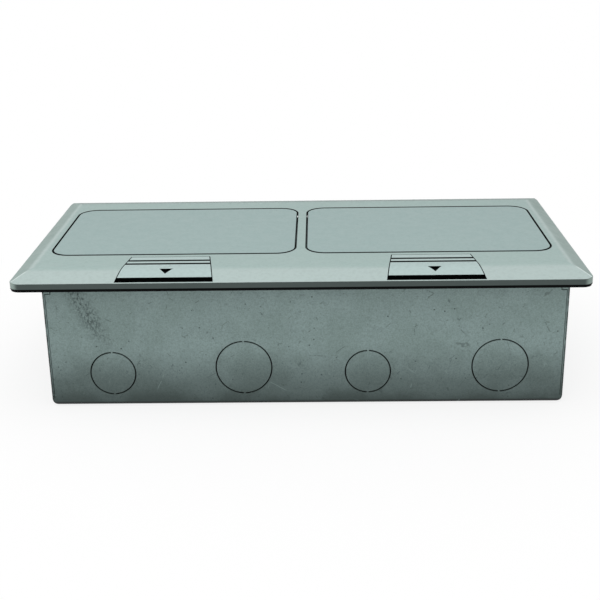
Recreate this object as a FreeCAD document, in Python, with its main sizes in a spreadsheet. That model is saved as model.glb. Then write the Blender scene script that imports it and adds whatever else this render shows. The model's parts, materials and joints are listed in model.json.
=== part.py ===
"""Twin pop-up floor socket box, with both lids closed.

The frame of the part: millimetres, X to the right, Y to the back, Z up, with
the origin under the middle of the cover, on the underside of the back box.
"""

import FreeCAD
import Part
import math
import os
from types import SimpleNamespace

import Sketcher
from FreeCAD import Placement, Rotation, Vector

# Driving dimensions, in millimetres and degrees
SIZES = {
    # Cast cover frame
    "cover_length": 255.0,
    "cover_depth": 136.4,
    "cover_edge": 3.1,
    "cover_crown": 6.0,
    "cover_corner": 5.0,
    "front_bevel": 11.4,
    "side_bevel": 6.8,
    "front_blend": 36.0,
    "side_blend": 12.0,
    "floor_skin": 1.5,
    "bridge_under": 3.6,
    "ledge_width": 3.5,
    "ledge_height": 1.6,
    "ledge_end": 27.0,
    "edge_break": 0.3,
    # Foam seal under the flange
    "gasket_thick": 0.75,
    "gasket_inset": 0.3,
    "gasket_side": 10.3,
    "gasket_front": 10.9,
    # Folded sheet back box
    "box_length": 234.3,
    "box_depth": 117.5,
    "box_height": 58.85,
    "box_shift": 2.0,
    "sheet": 1.0,
    "end_bend": 3.6,
    "front_bend": 2.0,
    "seam_slit": 0.25,
    "tab_width": 13.0,
    "tab_reach": 7.4,
    "tab_collar": 5.2,
    "lock_wide": 3.4,
    "lock_high": 4.0,
    "lock_gap": 0.35,
    "collar_deep": 2.0,
    # Knockouts for 20 mm and 25 mm conduit
    "small_knockout": 21.0,
    "large_knockout": 25.9,
    "knockout_slit": 0.5,
    "knockout_bridge": 1.3,
    "knockout_foot": 5.5,
    "inner_knockout_x": 28.2,
    "outer_knockout_x": 88.1,
    # Fixing holes in the floor of the box, and the earth screw
    "floor_hole_x": 180.0,
    "floor_hole_y": 80.0,
    "floor_hole": 4.5,
    "earth_screw_x": 40.0,
    "earth_screw_y": 44.0,
    "earth_stud": 4.0,
    "earth_stud_long": 11.0,
    "earth_stud_low": 0.2,
    "earth_play": 0.05,
    "earth_washer": 9.0,
    "earth_washer_thick": 1.0,
    "earth_nut": 8.0,
    "earth_nut_high": 3.2,
    # Cover screws, M3.5
    "screw_x": 111.6,
    "screw_y": 25.0,
    "screw_thread": 3.5,
    "screw_head": 5.8,
    "screw_head_high": 1.4,
    "driver_slot": 0.8,
    "screw_long": 14.0,
    "lug_high": 2.0,
    "lug_width": 8.0,
    "lug_reach": 10.2,
    # Lids
    "lid_length": 113.4,
    "lid_depth": 77.4,
    "lid_thick": 2.2,
    "lid_corner": 9.0,
    "lid_pitch": 118.8,
    "lid_back": 2.9,
    "lid_gap": 0.5,
    # Hinge
    "hinge_inset": 9.0,
    "hinge_drop": 2.5,
    "hinge_pin": 2.5,
    "hinge_play": 0.05,
    "pin_grip": 4.2,
    "ear_inset": 0.8,
    "ear_long": 4.2,
    "ear_round": 3.2,
    "lid_open": 45.0,
    # Slide latches
    "latch_rear": 40.2,
    "latch_front": 63.8,
    "latch_rear_width": 35.4,
    "latch_front_width": 41.5,
    "latch_play": 0.3,
    "latch_travel": 3.0,
    "latch_room": 0.6,
    "groove_one": 44.8,
    "groove_two": 49.4,
    "groove_wide": 1.0,
    "groove_deep": 0.9,
    "arrow_base": 56.4,
    "arrow_wide": 5.9,
    "arrow_long": 4.5,
    "arrow_deep": 0.7,
    "tongue_wide": 14.0,
    "tongue_thick": 1.5,
    "tongue_tip": 35.4,
    "tongue_room": 1.0,
    "leg_wide": 12.0,
    "leg_thick": 2.5,
    "leg_back": 44.5,
    "leg_low": 5.5,
    "barb": 1.0,
    "barb_high": 1.0,
    "hook_nose": 35.0,
    "hook_thick": 2.0,
    "hook_back": 0.2,
    "hook_low": 0.5,
    "hook_play": 0.6,
    "spring_wire": 0.6,
    "spring_wide": 4.0,
    "spring_drop": 3.0,
    "post_front": 57.2,
    "post_thick": 2.0,
    "post_side": 0.5,
    # Socket carrier under each lid
    "carrier_half": 46.5,
    "carrier_sheet": 1.2,
    "panel_top": 31.3,
    "panel_long": 50.0,
    "panel_lean": 28.0,
    "cheek_top": 1.8,
    "cheek_inset": 8.6,
    "cheek_low": 20.0,
    "cheek_foot": 10.0,
    "cheek_rise": 3.0,
    "flange_thick": 1.0,
    "flange_reach": 6.2,
    "flange_wide": 9.0,
    "flange_front": 9.0,
    "flange_rear": 13.0,
    "boss_wide": 6.0,
    "small_screw": 2.5,
    "small_head": 4.6,
    "head_high": 1.4,
    "low_head_high": 1.2,
    "screw_play": 0.15,
    "thread_spare": 0.2,
    "sector_screw_in": 5.0,
    "sector_screw_step": 2.0,
    "sector_screw_top": 5.0,
    "sector_screw_low": 14.0,
    # Wiring modules, 45 mm standard
    "module": 45.0,
    "module_play": 0.1,
    "face_proud": 1.5,
    "module_body": 32.0,
    "module_deep": 19.0,
    "module_side": 2.5,
    "module_drop": 1.0,
    # Power socket: pin ways, shutter and terminals
    "pin_apart": 22.2,
    "pin_rise": 22.2,
    "pin_low": 12.0,
    "pin_way_wide": 7.2,
    "pin_way_high": 4.8,
    "earth_way_wide": 5.0,
    "earth_way_high": 8.2,
    "way_deep": 16.0,
    "shutter_wide": 32.0,
    "shutter_high": 8.0,
    "shutter_thick": 1.6,
    "shutter_in": 3.3,
    "shutter_play": 0.2,
    "shutter_slack": 0.3,
    "shutter_travel": 6.5,
    "shutter_lift": 1.0,
    "clamp_wide": 7.0,
    "clamp_deep": 6.0,
    "clamp_apart": 11.0,
    "clamp_high": 3.0,
    "clamp_low": 7.0,
    "clamp_wire": 3.2,
    "clamp_screw": 4.0,
    "clamp_head": 1.2,
    # Data outlets: housing and port
    "jack_side": 3.0,
    "jack_up": 10.0,
    "jack_down": 12.0,
    "port_wide": 11.8,
    "port_up": 3.5,
    "port_down": 5.0,
    "port_deep": 12.0,
    "notch_wide": 6.4,
    "notch_down": 8.0,
    # Rotary damper and its toothed sector
    "tooth_module": 1.0,
    "sector_teeth": 38.0,
    "pinion_teeth": 12.0,
    "sector_thick": 3.0,
    "sector_rim": 5.2,
    "sector_arm": 3.0,
    "sector_heel": 3.5,
    "sector_waist_y": 4.5,
    "sector_waist_z": 9.0,
    "tail_inset": 3.2,
    "pinion_long": 3.6,
    "damper_wide": 15.0,
    "damper_long": 5.5,
    "damper_shaft": 3.0,
    "damper_ear": 25.0,
    "damper_screw": 10.0,
    "damper_plate": 1.6,
    "damper_ear_wide": 8.0,
    "damper_bore_play": 0.08,
    "damper_floor": 2.0,
    "damper_end_play": 0.3,
    "damper_head": 4.4,
    "damper_tip_gap": 0.1,
    "web_thick": 2.0,
    "web_front": 9.6,
    "web_knee": 2.6,
    "web_heel": 9.4,
    "web_rear": 17.4,
    "web_short": 24.0,
    "web_mid": 38.0,
    "web_low": 45.0,
    "bracket_plate": 1.5,
    "bracket_from": 22.6,
    "bracket_to": 6.6,
    "bracket_play": 0.3,
    "bracket_bite": 4.0,
    "bracket_screw_front": 19.1,
    "bracket_screw_rear": 13.6,
    # Lift springs
    "spring_post_back": 13.4,
    "spring_post_drop": 41.0,
    "spring_post": 2.6,
    "spring_pin": 2.0,
    "lift_wire": 0.7,
    "lift_radius": 1.5,
    "lift_hook": 2.6,
    "lift_offset": 1.4,
    "ring_play": 0.15,
}

# Angles of the toothed sector and of its spring pin, from the hinge, in degrees
SECTOR_FROM = -98.0
SECTOR_TO = -37.0
TAIL_TURN = 6.0
PRESSURE_ANGLE = 20.0

# Tooth proportions, in modules, and the play between the flanks
ADDENDUM = 0.8
DEDENDUM = 1.15
BACKLASH = 0.2

# Springs
SPRING_END = 0.2
LATCH_TURNS = 4
LIFT_TURNS = 7
WIRE_SIDES = 4

# How far a cutting tool runs past a face, how far a joined piece reaches into
# the one it joins, and a distance beyond every piece of a unit
PAST = 1.0
BITE = 0.5
FAR = 30.0


class Size:
    """A size that holds its number and the formula that binds it to the sheet."""

    def __init__(self, number, formula):
        self.number = float(number)
        self.formula = formula

    def _with(self, other, sign, turned=False):
        other = size(other)
        first, second = (other, self) if turned else (self, other)
        if sign == "+":
            number = first.number + second.number
        elif sign == "-":
            number = first.number - second.number
        elif sign == "*":
            number = first.number * second.number
        else:
            number = first.number / second.number
        return Size(number, f"({first.formula} {sign} {second.formula})")

    def __add__(self, other):
        return self._with(other, "+")

    def __radd__(self, other):
        return self._with(other, "+", True)

    def __sub__(self, other):
        return self._with(other, "-")

    def __rsub__(self, other):
        return self._with(other, "-", True)

    def __mul__(self, other):
        return self._with(other, "*")

    def __rmul__(self, other):
        return self._with(other, "*", True)

    def __truediv__(self, other):
        return self._with(other, "/")

    def __neg__(self):
        return Size(-self.number, f"(0 - {self.formula})")


def size(value):
    """Return value as a Size; a bare number stays a bare number."""
    if isinstance(value, Size):
        return value
    return Size(value, repr(float(value)))


def sine(angle):
    """Return the sine of an angle in degrees."""
    return Size(math.sin(math.radians(angle.number)), f"sin({angle.formula})")


def cosine(angle):
    """Return the cosine of an angle in degrees."""
    return Size(math.cos(math.radians(angle.number)), f"cos({angle.formula})")


def root(value):
    """Return the square root of a size."""
    return Size(math.sqrt(value.number), f"sqrt({value.formula})")


def tangent(angle):
    """Return the tangent of an angle in degrees."""
    return Size(math.tan(math.radians(angle.number)), f"tan({angle.formula})")


def arctangent(rise, run):
    """Return the slope angle of rise over run, in degrees."""
    number = math.degrees(math.atan2(rise.number, run.number))
    return Size(number, f"atan({rise.formula} / {run.formula})")


document = FreeCAD.newDocument("floor_socket_box")
sheet = document.addObject("Spreadsheet::Sheet", "sizes")
for row, (alias, number) in enumerate(SIZES.items(), start=1):
    sheet.set(f"A{row}", alias)
    sheet.set(f"B{row}", str(number))
    sheet.setAlias(f"B{row}", alias)
document.recompute()
dim = SimpleNamespace(**{alias: Size(number, f"sizes.{alias}") for alias, number in SIZES.items()})

# Places worked out from the driving dimensions
flange_z = dim.box_height + dim.gasket_thick
lid_top = flange_z + dim.cover_crown
lid_under = lid_top - dim.lid_thick
lid_front = dim.lid_back - dim.lid_depth / 2
lid_rear = dim.lid_back + dim.lid_depth / 2
hinge_y = lid_rear - dim.hinge_inset
hinge_z = lid_top - dim.hinge_drop
opening_half = dim.lid_length / 2 + dim.lid_gap
opening_front = lid_front - dim.lid_gap
opening_rear = lid_rear + dim.lid_gap
opening_corner = dim.lid_corner + dim.lid_gap
mullion_half = dim.lid_pitch / 2 - opening_half
slot_floor = flange_z + dim.floor_skin
latch_under = slot_floor + dim.latch_play
pinion_y = hinge_y
sector_radius = dim.tooth_module * dim.sector_teeth / 2
pinion_radius = dim.tooth_module * dim.pinion_teeth / 2
pinion_z = hinge_z - sector_radius - pinion_radius
cheek_z = flange_z + dim.cheek_top
panel_z = cheek_z - dim.flange_thick
cheek_rear = hinge_y - dim.cheek_inset
bracket_screws_y = (hinge_y - dim.bracket_screw_front, hinge_y - dim.bracket_screw_rear)
spring_post_y = hinge_y + dim.spring_post_back

subparts = []


def keep(item, label):
    """Name a finished sub-part and list it for writing."""
    item.Label = label
    subparts.append(item)
    return item


def bind(item, path, value):
    """Tie one property of an object to the sheet."""
    value = size(value)
    item.setExpression(path, value.formula)


def place(item, x, y, z):
    """Tie the position of an object to the sheet."""
    bind(item, "Placement.Base.x", x)
    bind(item, "Placement.Base.y", y)
    bind(item, "Placement.Base.z", z)


AIM = {
    "X": Rotation(Vector(0, 1, 0), 90),
    "Y": Rotation(Vector(1, 0, 0), -90),
    "Z": Rotation(),
}


def block(name, low, high, body=None, kind="Box"):
    """Make a box between two corners, alone or as a feature of a body."""
    if body:
        item = body.newObject(f"PartDesign::{kind}", name)
    else:
        item = document.addObject("Part::Box", name)
    bind(item, "Length", high[0] - size(low[0]))
    bind(item, "Width", high[1] - size(low[1]))
    bind(item, "Height", high[2] - size(low[2]))
    place(item, *low)
    return item


def rod(name, start, radius, length, along, body=None, kind="Cylinder"):
    """Make a cylinder from a start point along an axis, alone or in a body."""
    if body:
        item = body.newObject(f"PartDesign::{kind}", name)
    else:
        item = document.addObject("Part::Cylinder", name)
    item.Placement = Placement(Vector(), AIM[along])
    bind(item, "Radius", radius)
    bind(item, "Height", length)
    place(item, *start)
    return item


def fuse(name, pieces):
    """Fuse several objects into one solid."""
    item = document.addObject("Part::MultiFuse", name)
    item.Shapes = pieces
    return item


def group(name, pieces):
    """Hold several separate solids in one sub-part."""
    item = document.addObject("Part::Compound", name)
    item.Links = pieces
    return item


def cut(name, base, tools):
    """Cut one or more tools out of a base."""
    item = document.addObject("Part::Cut", name)
    item.Base = base
    item.Tool = tools[0] if len(tools) == 1 else fuse(name + "_tools", tools)
    return item


def lean(item, x):
    """Lean a piece built upright at the panel's top edge back into its real place."""
    item.Placement = Placement(Vector(), Rotation(Vector(1, 0, 0), dim.panel_lean.number))
    bind(item, "Placement.Rotation.Angle", dim.panel_lean)
    place(item, x, -dim.panel_top, panel_z)
    return item


def new_body(name):
    """Start a body for a sub-part."""
    return document.addObject("PartDesign::Body", name)


def sketch_on(body, role, name, offset=0):
    """Start a sketch on one of the body's own origin planes, moved along its normal."""
    sketch = body.newObject("Sketcher::SketchObject", name)
    plane = next(item for item in body.Origin.OriginFeatures if item.Role == role)
    sketch.AttachmentSupport = [(plane, "")]
    sketch.MapMode = "FlatFace"
    bind(sketch, "AttachmentOffset.Base.z", offset)
    return sketch


def outline(sketch, corners):
    """Draw a closed outline; a corner with a third value starts an arc of that radius.

    A positive radius turns left on the way to the next corner, a negative one right.
    Each corner is tied to the sheet by its two distances from the sketch's origin.
    """
    count = len(corners)
    ends = []
    for index, corner in enumerate(corners):
        here = Vector(size(corner[0]).number, size(corner[1]).number, 0)
        following = corners[(index + 1) % count]
        there = Vector(size(following[0]).number, size(following[1]).number, 0)
        if len(corner) == 2:
            geometry = sketch.addGeometry(Part.LineSegment(here, there))
            ends.append((geometry, 1, 2))
            continue
        radius = size(corner[2])
        chord = there - here
        half = chord.Length / 2
        reach = math.sqrt(max(radius.number ** 2 - half ** 2, 0.0))
        left = Vector(-chord.y, chord.x, 0).normalize()
        turn = 1 if radius.number > 0 else -1
        centre = (here + there) * 0.5 + left * (reach * turn)
        first = math.atan2(here.y - centre.y, here.x - centre.x)
        last = math.atan2(there.y - centre.y, there.x - centre.x)
        circle = Part.Circle(centre, Vector(0, 0, 1), abs(radius.number))
        if turn > 0:
            geometry = sketch.addGeometry(Part.ArcOfCircle(circle, first, last))
            ends.append((geometry, 1, 2))
        else:
            geometry = sketch.addGeometry(Part.ArcOfCircle(circle, last, first))
            ends.append((geometry, 2, 1))
        rule = sketch.addConstraint(Sketcher.Constraint("Radius", geometry, abs(radius.number)))
        bind(sketch, f"Constraints[{rule}]", radius if turn > 0 else -radius)
    for index, corner in enumerate(corners):
        geometry, start, _ = ends[index]
        before, _, finish = ends[index - 1]
        sketch.addConstraint(Sketcher.Constraint("Coincident", before, finish, geometry, start))
        for axis, value in (("DistanceX", corner[0]), ("DistanceY", corner[1])):
            value = size(value)
            rule = sketch.addConstraint(Sketcher.Constraint(axis, -1, 1, geometry, start, value.number))
            bind(sketch, f"Constraints[{rule}]", value)


def rounded(centre_x, centre_y, half_x, half_y, radius):
    """Return the corners of a rectangle with round corners, for outline()."""
    left, right = centre_x - half_x, centre_x + half_x
    front, rear = centre_y - half_y, centre_y + half_y
    return [
        (left + radius, front),
        (right - radius, front, radius),
        (right, front + radius),
        (right, rear - radius, radius),
        (right - radius, rear),
        (left + radius, rear, radius),
        (left, rear - radius),
        (left, front + radius, radius),
    ]


def extrude(body, kind, sketch, length=None, both=False, back=False):
    """Pad or pocket a sketch by a length, or through everything when it has none."""
    feature = body.newObject(f"PartDesign::{kind}", sketch.Name + "_" + kind.lower())
    feature.Profile = sketch
    if length is None:
        feature.Type = "ThroughAll"
    else:
        bind(feature, "Length", length)
    feature.Midplane = both
    feature.Reversed = back
    sketch.Visibility = False
    return feature


def round_edges(body, name, base, radius, picked):
    """Round the edges of a feature that a test picks."""
    document.recompute()
    names = [f"Edge{number}" for number, edge in enumerate(base.Shape.Edges, start=1) if picked(edge)]
    feature = body.newObject("PartDesign::Fillet", name)
    feature.Base = (base, names)
    bind(feature, "Radius", radius)
    return feature


def break_edges(body, name, base, wide, picked):
    """Break the sharp edges of a feature that a test picks."""
    document.recompute()
    names = [f"Edge{number}" for number, edge in enumerate(base.Shape.Edges, start=1) if picked(edge)]
    feature = body.newObject("PartDesign::Chamfer", name)
    feature.Base = (base, names)
    bind(feature, "Size", wide)
    return feature


def upright(edge):
    """Say whether an edge is vertical."""
    first, last = edge.Vertexes[0].Point, edge.Vertexes[-1].Point
    flat = math.hypot(first.x - last.x, first.y - last.y)
    return flat < 1e-6 and abs(first.z - last.z) > 1e-6


def bevel_profile(outer, run, blend):
    """Return the waste above a bevel, from the outer edge up to the crown, for outline().

    The profile is drawn with the outer edge on the negative side of the first axis.
    """
    slope = arctangent(dim.cover_crown - dim.cover_edge, run)
    reach = blend * tangent(slope / 2)
    crest = run - outer
    edge_z = flange_z + dim.cover_edge
    crown_z = flange_z + dim.cover_crown
    return [
        (-outer, edge_z),
        (crest - reach * cosine(slope), crown_z - reach * sine(slope), -blend),
        (crest + reach, crown_z),
        (crest + reach, crown_z + 5 * PAST),
        (-outer - 5 * PAST, crown_z + 5 * PAST),
        (-outer - 5 * PAST, edge_z),
    ]


def mirrored(corners):
    """Return an outline mirrored about the sketch's second axis, in the same order."""
    return [(-corner[0],) + tuple(corner[1:2]) + tuple(-value for value in corner[2:]) for corner in corners]


def bevel_cuts(body, latch=False):
    """Cut the sloping edges into a body that is still full height."""
    front = sketch_on(body, "YZ_Plane", body.Name + "_front_bevel")
    outline(front, bevel_profile(dim.cover_depth / 2, dim.front_bevel, dim.front_blend))
    result = extrude(body, "Pocket", front, both=True)
    if latch:
        return result
    rear = sketch_on(body, "YZ_Plane", body.Name + "_rear_bevel")
    outline(rear, mirrored(bevel_profile(dim.cover_depth / 2, dim.front_bevel, dim.front_blend)))
    extrude(body, "Pocket", rear, both=True)
    left = sketch_on(body, "XZ_Plane", body.Name + "_left_bevel")
    outline(left, bevel_profile(dim.cover_length / 2, dim.side_bevel, dim.side_blend))
    extrude(body, "Pocket", left, both=True)
    right = sketch_on(body, "XZ_Plane", body.Name + "_right_bevel")
    outline(right, mirrored(bevel_profile(dim.cover_length / 2, dim.side_bevel, dim.side_blend)))
    return extrude(body, "Pocket", right, both=True)


def latch_plan(centre, play):
    """Return the latch's tapered outline, widened by a play, for outline()."""
    return [
        (centre - dim.latch_rear_width / 2 - play, -dim.latch_rear + play),
        (centre - dim.latch_front_width / 2 - play, -dim.latch_front),
        (centre + dim.latch_front_width / 2 + play, -dim.latch_front),
        (centre + dim.latch_rear_width / 2 + play, -dim.latch_rear + play),
    ]


def slot_plan(centre, play):
    """Return the outline of a latch's slot: the latch, its side play and its travel."""
    near, far = latch_plan(centre, play)[0], latch_plan(centre, play)[1]
    front_y = -dim.latch_front - dim.latch_travel - dim.latch_room
    wider = (dim.latch_front_width - dim.latch_rear_width) / 2 / (dim.latch_front - dim.latch_rear)
    grow = wider * (dim.latch_travel + dim.latch_room)
    right = 2 * centre
    return [
        near,
        (far[0] - grow, front_y),
        (right - far[0] + grow, front_y),
        (right - near[0], near[1]),
    ]


def make_cover_frame():
    """Make the cast cover frame: crown, lid openings, latch slots, lugs and hinge bores."""
    body = new_body("cover_frame")
    half_x, half_y = dim.cover_length / 2, dim.cover_depth / 2
    plan = sketch_on(body, "XY_Plane", "frame_plan", flange_z)
    outline(plan, [(-half_x, -half_y), (half_x, -half_y), (half_x, half_y), (-half_x, half_y)])
    crown = extrude(body, "Pad", plan, dim.cover_crown)
    round_edges(body, "frame_corners", crown, dim.cover_corner, upright)
    bevel_cuts(body)
    for side, word in ((-1, "left"), (1, "right")):
        centre = side * dim.lid_pitch / 2
        opening = sketch_on(body, "XY_Plane", f"{word}_opening", flange_z)
        opening_y = (opening_front + opening_rear) / 2
        half_deep = (opening_rear - opening_front) / 2
        outline(opening, rounded(centre, opening_y, opening_half, half_deep, opening_corner))
        extrude(body, "Pocket", opening, both=True)
        inner_x = opening_half - dim.ledge_width
        outer_x = opening_half + PAST
        ledge = sketch_on(body, "XY_Plane", f"{word}_ledge", flange_z)
        outline(ledge, [
            (centre - outer_x, opening_front - PAST),
            (centre + outer_x, opening_front - PAST),
            (centre + outer_x, dim.ledge_end),
            (centre + inner_x, dim.ledge_end),
            (centre + inner_x, opening_front + dim.ledge_width),
            (centre - inner_x, opening_front + dim.ledge_width),
            (centre - inner_x, dim.ledge_end),
            (centre - outer_x, dim.ledge_end),
        ])
        extrude(body, "Pad", ledge, dim.ledge_height)
        slot = sketch_on(body, "XY_Plane", f"{word}_latch_slot", slot_floor)
        outline(slot, slot_plan(centre, dim.latch_play))
        extrude(body, "Pocket", slot, back=True)
        way = dim.tongue_wide / 2 + dim.tongue_room
        block(f"{word}_tongue_way", (centre - way, -dim.latch_rear - 2 * PAST, slot_floor),
              (centre + way, opening_front + dim.ledge_width + PAST, flange_z + dim.bridge_under),
              body, "SubtractiveBox")
        block(f"{word}_hook_notch", (centre - way, opening_front, flange_z - PAST),
              (centre + way, opening_front + dim.ledge_width + PAST, flange_z + dim.bridge_under),
              body, "SubtractiveBox")
        leg_half = dim.leg_wide / 2 + dim.latch_play
        leg_front = -dim.leg_back - dim.leg_thick - dim.latch_travel - dim.latch_play
        block(f"{word}_leg_window", (centre - leg_half, leg_front, flange_z - PAST),
              (centre + leg_half, -dim.leg_back + dim.latch_play, slot_floor + PAST),
              body, "SubtractiveBox")
        block(f"{word}_spring_post",
              (centre - dim.spring_wide / 2 - dim.post_side, -dim.post_front, flange_z - dim.leg_low),
              (centre + dim.spring_wide / 2 + dim.post_side, -dim.post_front + dim.post_thick,
               flange_z + PAST),
              body, "AdditiveBox")
        for row, row_word in ((-1, "front"), (1, "rear")):
            lug_y = row * dim.screw_y
            outer = side * (centre * side + outer_x)
            inner = side * (centre * side + opening_half - dim.lug_reach)
            low_x, high_x = (inner, outer) if side > 0 else (outer, inner)
            block(f"{word}_{row_word}_lug", (low_x, lug_y - dim.lug_width / 2, flange_z),
                  (high_x, lug_y + dim.lug_width / 2, flange_z + dim.lug_high), body, "AdditiveBox")
            slot_half = dim.screw_thread / 2 + dim.screw_play
            slide = dim.box_shift + slot_half
            hole = sketch_on(body, "XY_Plane", f"{word}_{row_word}_screw_slot", flange_z)
            outline(hole, rounded(side * dim.screw_x, lug_y, slide, slot_half, slot_half * 0.99))
            extrude(body, "Pocket", hole, both=True)
    pin = dim.hinge_pin / 2
    outer_wall = dim.lid_pitch / 2 + opening_half
    rod("left_hinge_bore", (-outer_wall - dim.pin_grip, hinge_y, hinge_z), pin,
        dim.pin_grip + PAST, "X", body, "SubtractiveCylinder")
    rod("middle_hinge_bore", (-mullion_half - PAST, hinge_y, hinge_z), pin,
        (mullion_half + PAST) * 2, "X", body, "SubtractiveCylinder")
    rod("right_hinge_bore", (outer_wall - PAST, hinge_y, hinge_z), pin, dim.pin_grip + PAST, "X",
        body, "SubtractiveCylinder")
    for tag, y in zip(("front", "rear"), bracket_screws_y):
        rod(f"bracket_thread_{tag}", (0, y, flange_z - PAST), dim.small_screw / 2,
            dim.bracket_bite + PAST + dim.thread_spare, "Z", body, "SubtractiveCylinder")
    return keep(body, "cover_frame")


def make_gasket():
    """Make the black foam seal that lies between the flange and the floor."""
    half_x = dim.cover_length / 2 - dim.gasket_inset
    half_y = dim.cover_depth / 2 - dim.gasket_inset
    hole_x = dim.cover_length / 2 - dim.gasket_side
    hole_y = dim.cover_depth / 2 - dim.gasket_front
    body = new_body("floor_gasket")
    plan = sketch_on(body, "XY_Plane", "gasket_plan", dim.box_height)
    outline(plan, rounded(0, 0, half_x, half_y, dim.cover_corner - dim.gasket_inset))
    extrude(body, "Pad", plan, dim.gasket_thick)
    hole = sketch_on(body, "XY_Plane", "gasket_hole", dim.box_height)
    outline(hole, rounded(0, 0, hole_x, hole_y, dim.cover_corner))
    extrude(body, "Pocket", hole, both=True)
    return keep(body, "floor_gasket")


def bend_waste(outer, radius):
    """Return the waste outside a bottom bend at the negative side, for outline()."""
    return [
        (-outer, radius, radius),
        (radius - outer, 0),
        (radius - outer, -PAST),
        (-outer - PAST, -PAST),
        (-outer - PAST, radius),
    ]


def knockout(body, plane, name, centre, centre_z, diameter):
    """Cut both halves of a knockout's slit through a pair of opposite walls."""
    outer = diameter / 2
    inner = outer - dim.knockout_slit
    half = dim.knockout_bridge / 2
    tall = root(outer * outer - half * half)
    low = root(inner * inner - half * half)
    for side, word in ((1, "a"), (-1, "b")):
        edge = centre + side * half
        slit = sketch_on(body, plane, f"{name}_{word}")
        outline(slit, [
            (edge, centre_z - side * tall, outer),
            (edge, centre_z + side * tall),
            (edge, centre_z + side * low, -inner),
            (edge, centre_z - side * low),
        ])
        extrude(body, "Pocket", slit, both=True)


def make_back_box():
    """Make the box folded from galvanised sheet, with seams, tabs and knockouts."""
    body = new_body("back_box")
    half_x, half_y = dim.box_length / 2, dim.box_depth / 2
    left, right = dim.box_shift - half_x, dim.box_shift + half_x
    profile = sketch_on(body, "XZ_Plane", "box_profile")
    outline(profile, [
        (left, dim.box_height),
        (left, dim.end_bend, dim.end_bend),
        (left + dim.end_bend, 0),
        (right - dim.end_bend, 0, dim.end_bend),
        (right, dim.end_bend),
        (right, dim.box_height),
    ])
    extrude(body, "Pad", profile, dim.box_depth, both=True)
    for word, waste in (("front", bend_waste(half_y, dim.front_bend)),
                        ("rear", mirrored(bend_waste(half_y, dim.front_bend)))):
        bend = sketch_on(body, "YZ_Plane", f"box_{word}_bend")
        outline(bend, waste)
        extrude(body, "Pocket", bend, both=True)
    inner_bend = dim.end_bend - dim.sheet
    hollow = sketch_on(body, "XZ_Plane", "box_hollow")
    outline(hollow, [
        (left + dim.sheet, dim.box_height + PAST),
        (left + dim.sheet, dim.end_bend, inner_bend),
        (left + dim.end_bend, dim.sheet),
        (right - dim.end_bend, dim.sheet, inner_bend),
        (right - dim.sheet, dim.end_bend),
        (right - dim.sheet, dim.box_height + PAST),
    ])
    extrude(body, "Pocket", hollow, dim.box_depth - 2 * dim.sheet, both=True)
    for side, word in ((-1, "left"), (1, "right")):
        seam = dim.box_shift + side * (half_x - dim.sheet)
        low_x = seam - dim.seam_slit if side > 0 else seam
        for row, row_word in ((-1, "front"), (1, "rear")):
            wall = row * half_y
            low_y = wall - PAST if row < 0 else wall - dim.sheet
            block(f"{word}_{row_word}_seam", (low_x, low_y, dim.end_bend),
                  (low_x + dim.seam_slit, low_y + dim.sheet + PAST, dim.box_height + PAST),
                  body, "SubtractiveBox")
            lock_end = dim.box_shift + side * half_x
            lock_tip = lock_end - side * dim.lock_wide
            notch_tip = lock_tip - side * dim.lock_gap
            lock_y = wall if row < 0 else wall - dim.sheet
            near, far = sorted((seam, notch_tip), key=lambda place_x: place_x.number)
            block(f"{word}_{row_word}_lock_notch",
                  (near, low_y, dim.box_height - dim.lock_high - dim.lock_gap),
                  (far, low_y + dim.sheet + PAST, dim.box_height + PAST), body, "SubtractiveBox")
            near, far = sorted((lock_end - side * BITE, lock_tip), key=lambda place_x: place_x.number)
            block(f"{word}_{row_word}_lock", (near, lock_y, dim.box_height - dim.lock_high),
                  (far, lock_y + dim.sheet, dim.box_height - dim.lock_gap), body, "AdditiveBox")
            tab_y = row * dim.screw_y
            end = dim.box_shift + side * (half_x - dim.sheet / 2)
            tip = dim.box_shift + side * (half_x - dim.sheet - dim.tab_reach)
            low_tab, high_tab = (tip, end) if side > 0 else (end, tip)
            tab_half = dim.tab_width / 2
            block(f"{word}_{row_word}_tab", (low_tab, tab_y - tab_half, dim.box_height - dim.sheet),
                  (high_tab, tab_y + tab_half, dim.box_height), body, "AdditiveBox")
            hole_x = dim.box_shift + side * dim.screw_x
            low_z = dim.box_height - dim.sheet - dim.collar_deep
            rod(f"{word}_{row_word}_collar", (hole_x, tab_y, low_z), dim.tab_collar / 2,
                dim.collar_deep + dim.sheet / 2, "Z", body, "AdditiveCylinder")
            rod(f"{word}_{row_word}_thread", (hole_x, tab_y, low_z - PAST), dim.screw_thread / 2,
                dim.collar_deep + dim.sheet + 2 * PAST, "Z", body, "SubtractiveCylinder")
            rod(f"{word}_{row_word}_fixing",
                (dim.box_shift + side * dim.floor_hole_x / 2, row * dim.floor_hole_y / 2, -PAST),
                dim.floor_hole / 2, dim.sheet + 2 * PAST, "Z", body, "SubtractiveCylinder")
    rod("earth_hole", (dim.box_shift + dim.earth_screw_x, dim.earth_screw_y, -PAST),
        dim.earth_stud / 2 + dim.earth_play, dim.sheet + 2 * PAST, "Z", body, "SubtractiveCylinder")
    small_z = dim.knockout_foot + dim.small_knockout / 2
    large_z = dim.knockout_foot + dim.large_knockout / 2
    for name, offset, diameter, centre_z in (
            ("outer_small", -dim.outer_knockout_x, dim.small_knockout, small_z),
            ("inner_large", -dim.inner_knockout_x, dim.large_knockout, large_z),
            ("inner_small", dim.inner_knockout_x, dim.small_knockout, small_z),
            ("outer_large", dim.outer_knockout_x, dim.large_knockout, large_z)):
        knockout(body, "XZ_Plane", name, dim.box_shift + offset, centre_z, diameter)
    knockout(body, "YZ_Plane", "end_small", -dim.inner_knockout_x, small_z, dim.small_knockout)
    knockout(body, "YZ_Plane", "end_large", dim.inner_knockout_x, large_z, dim.large_knockout)
    return keep(body, "back_box")


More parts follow.
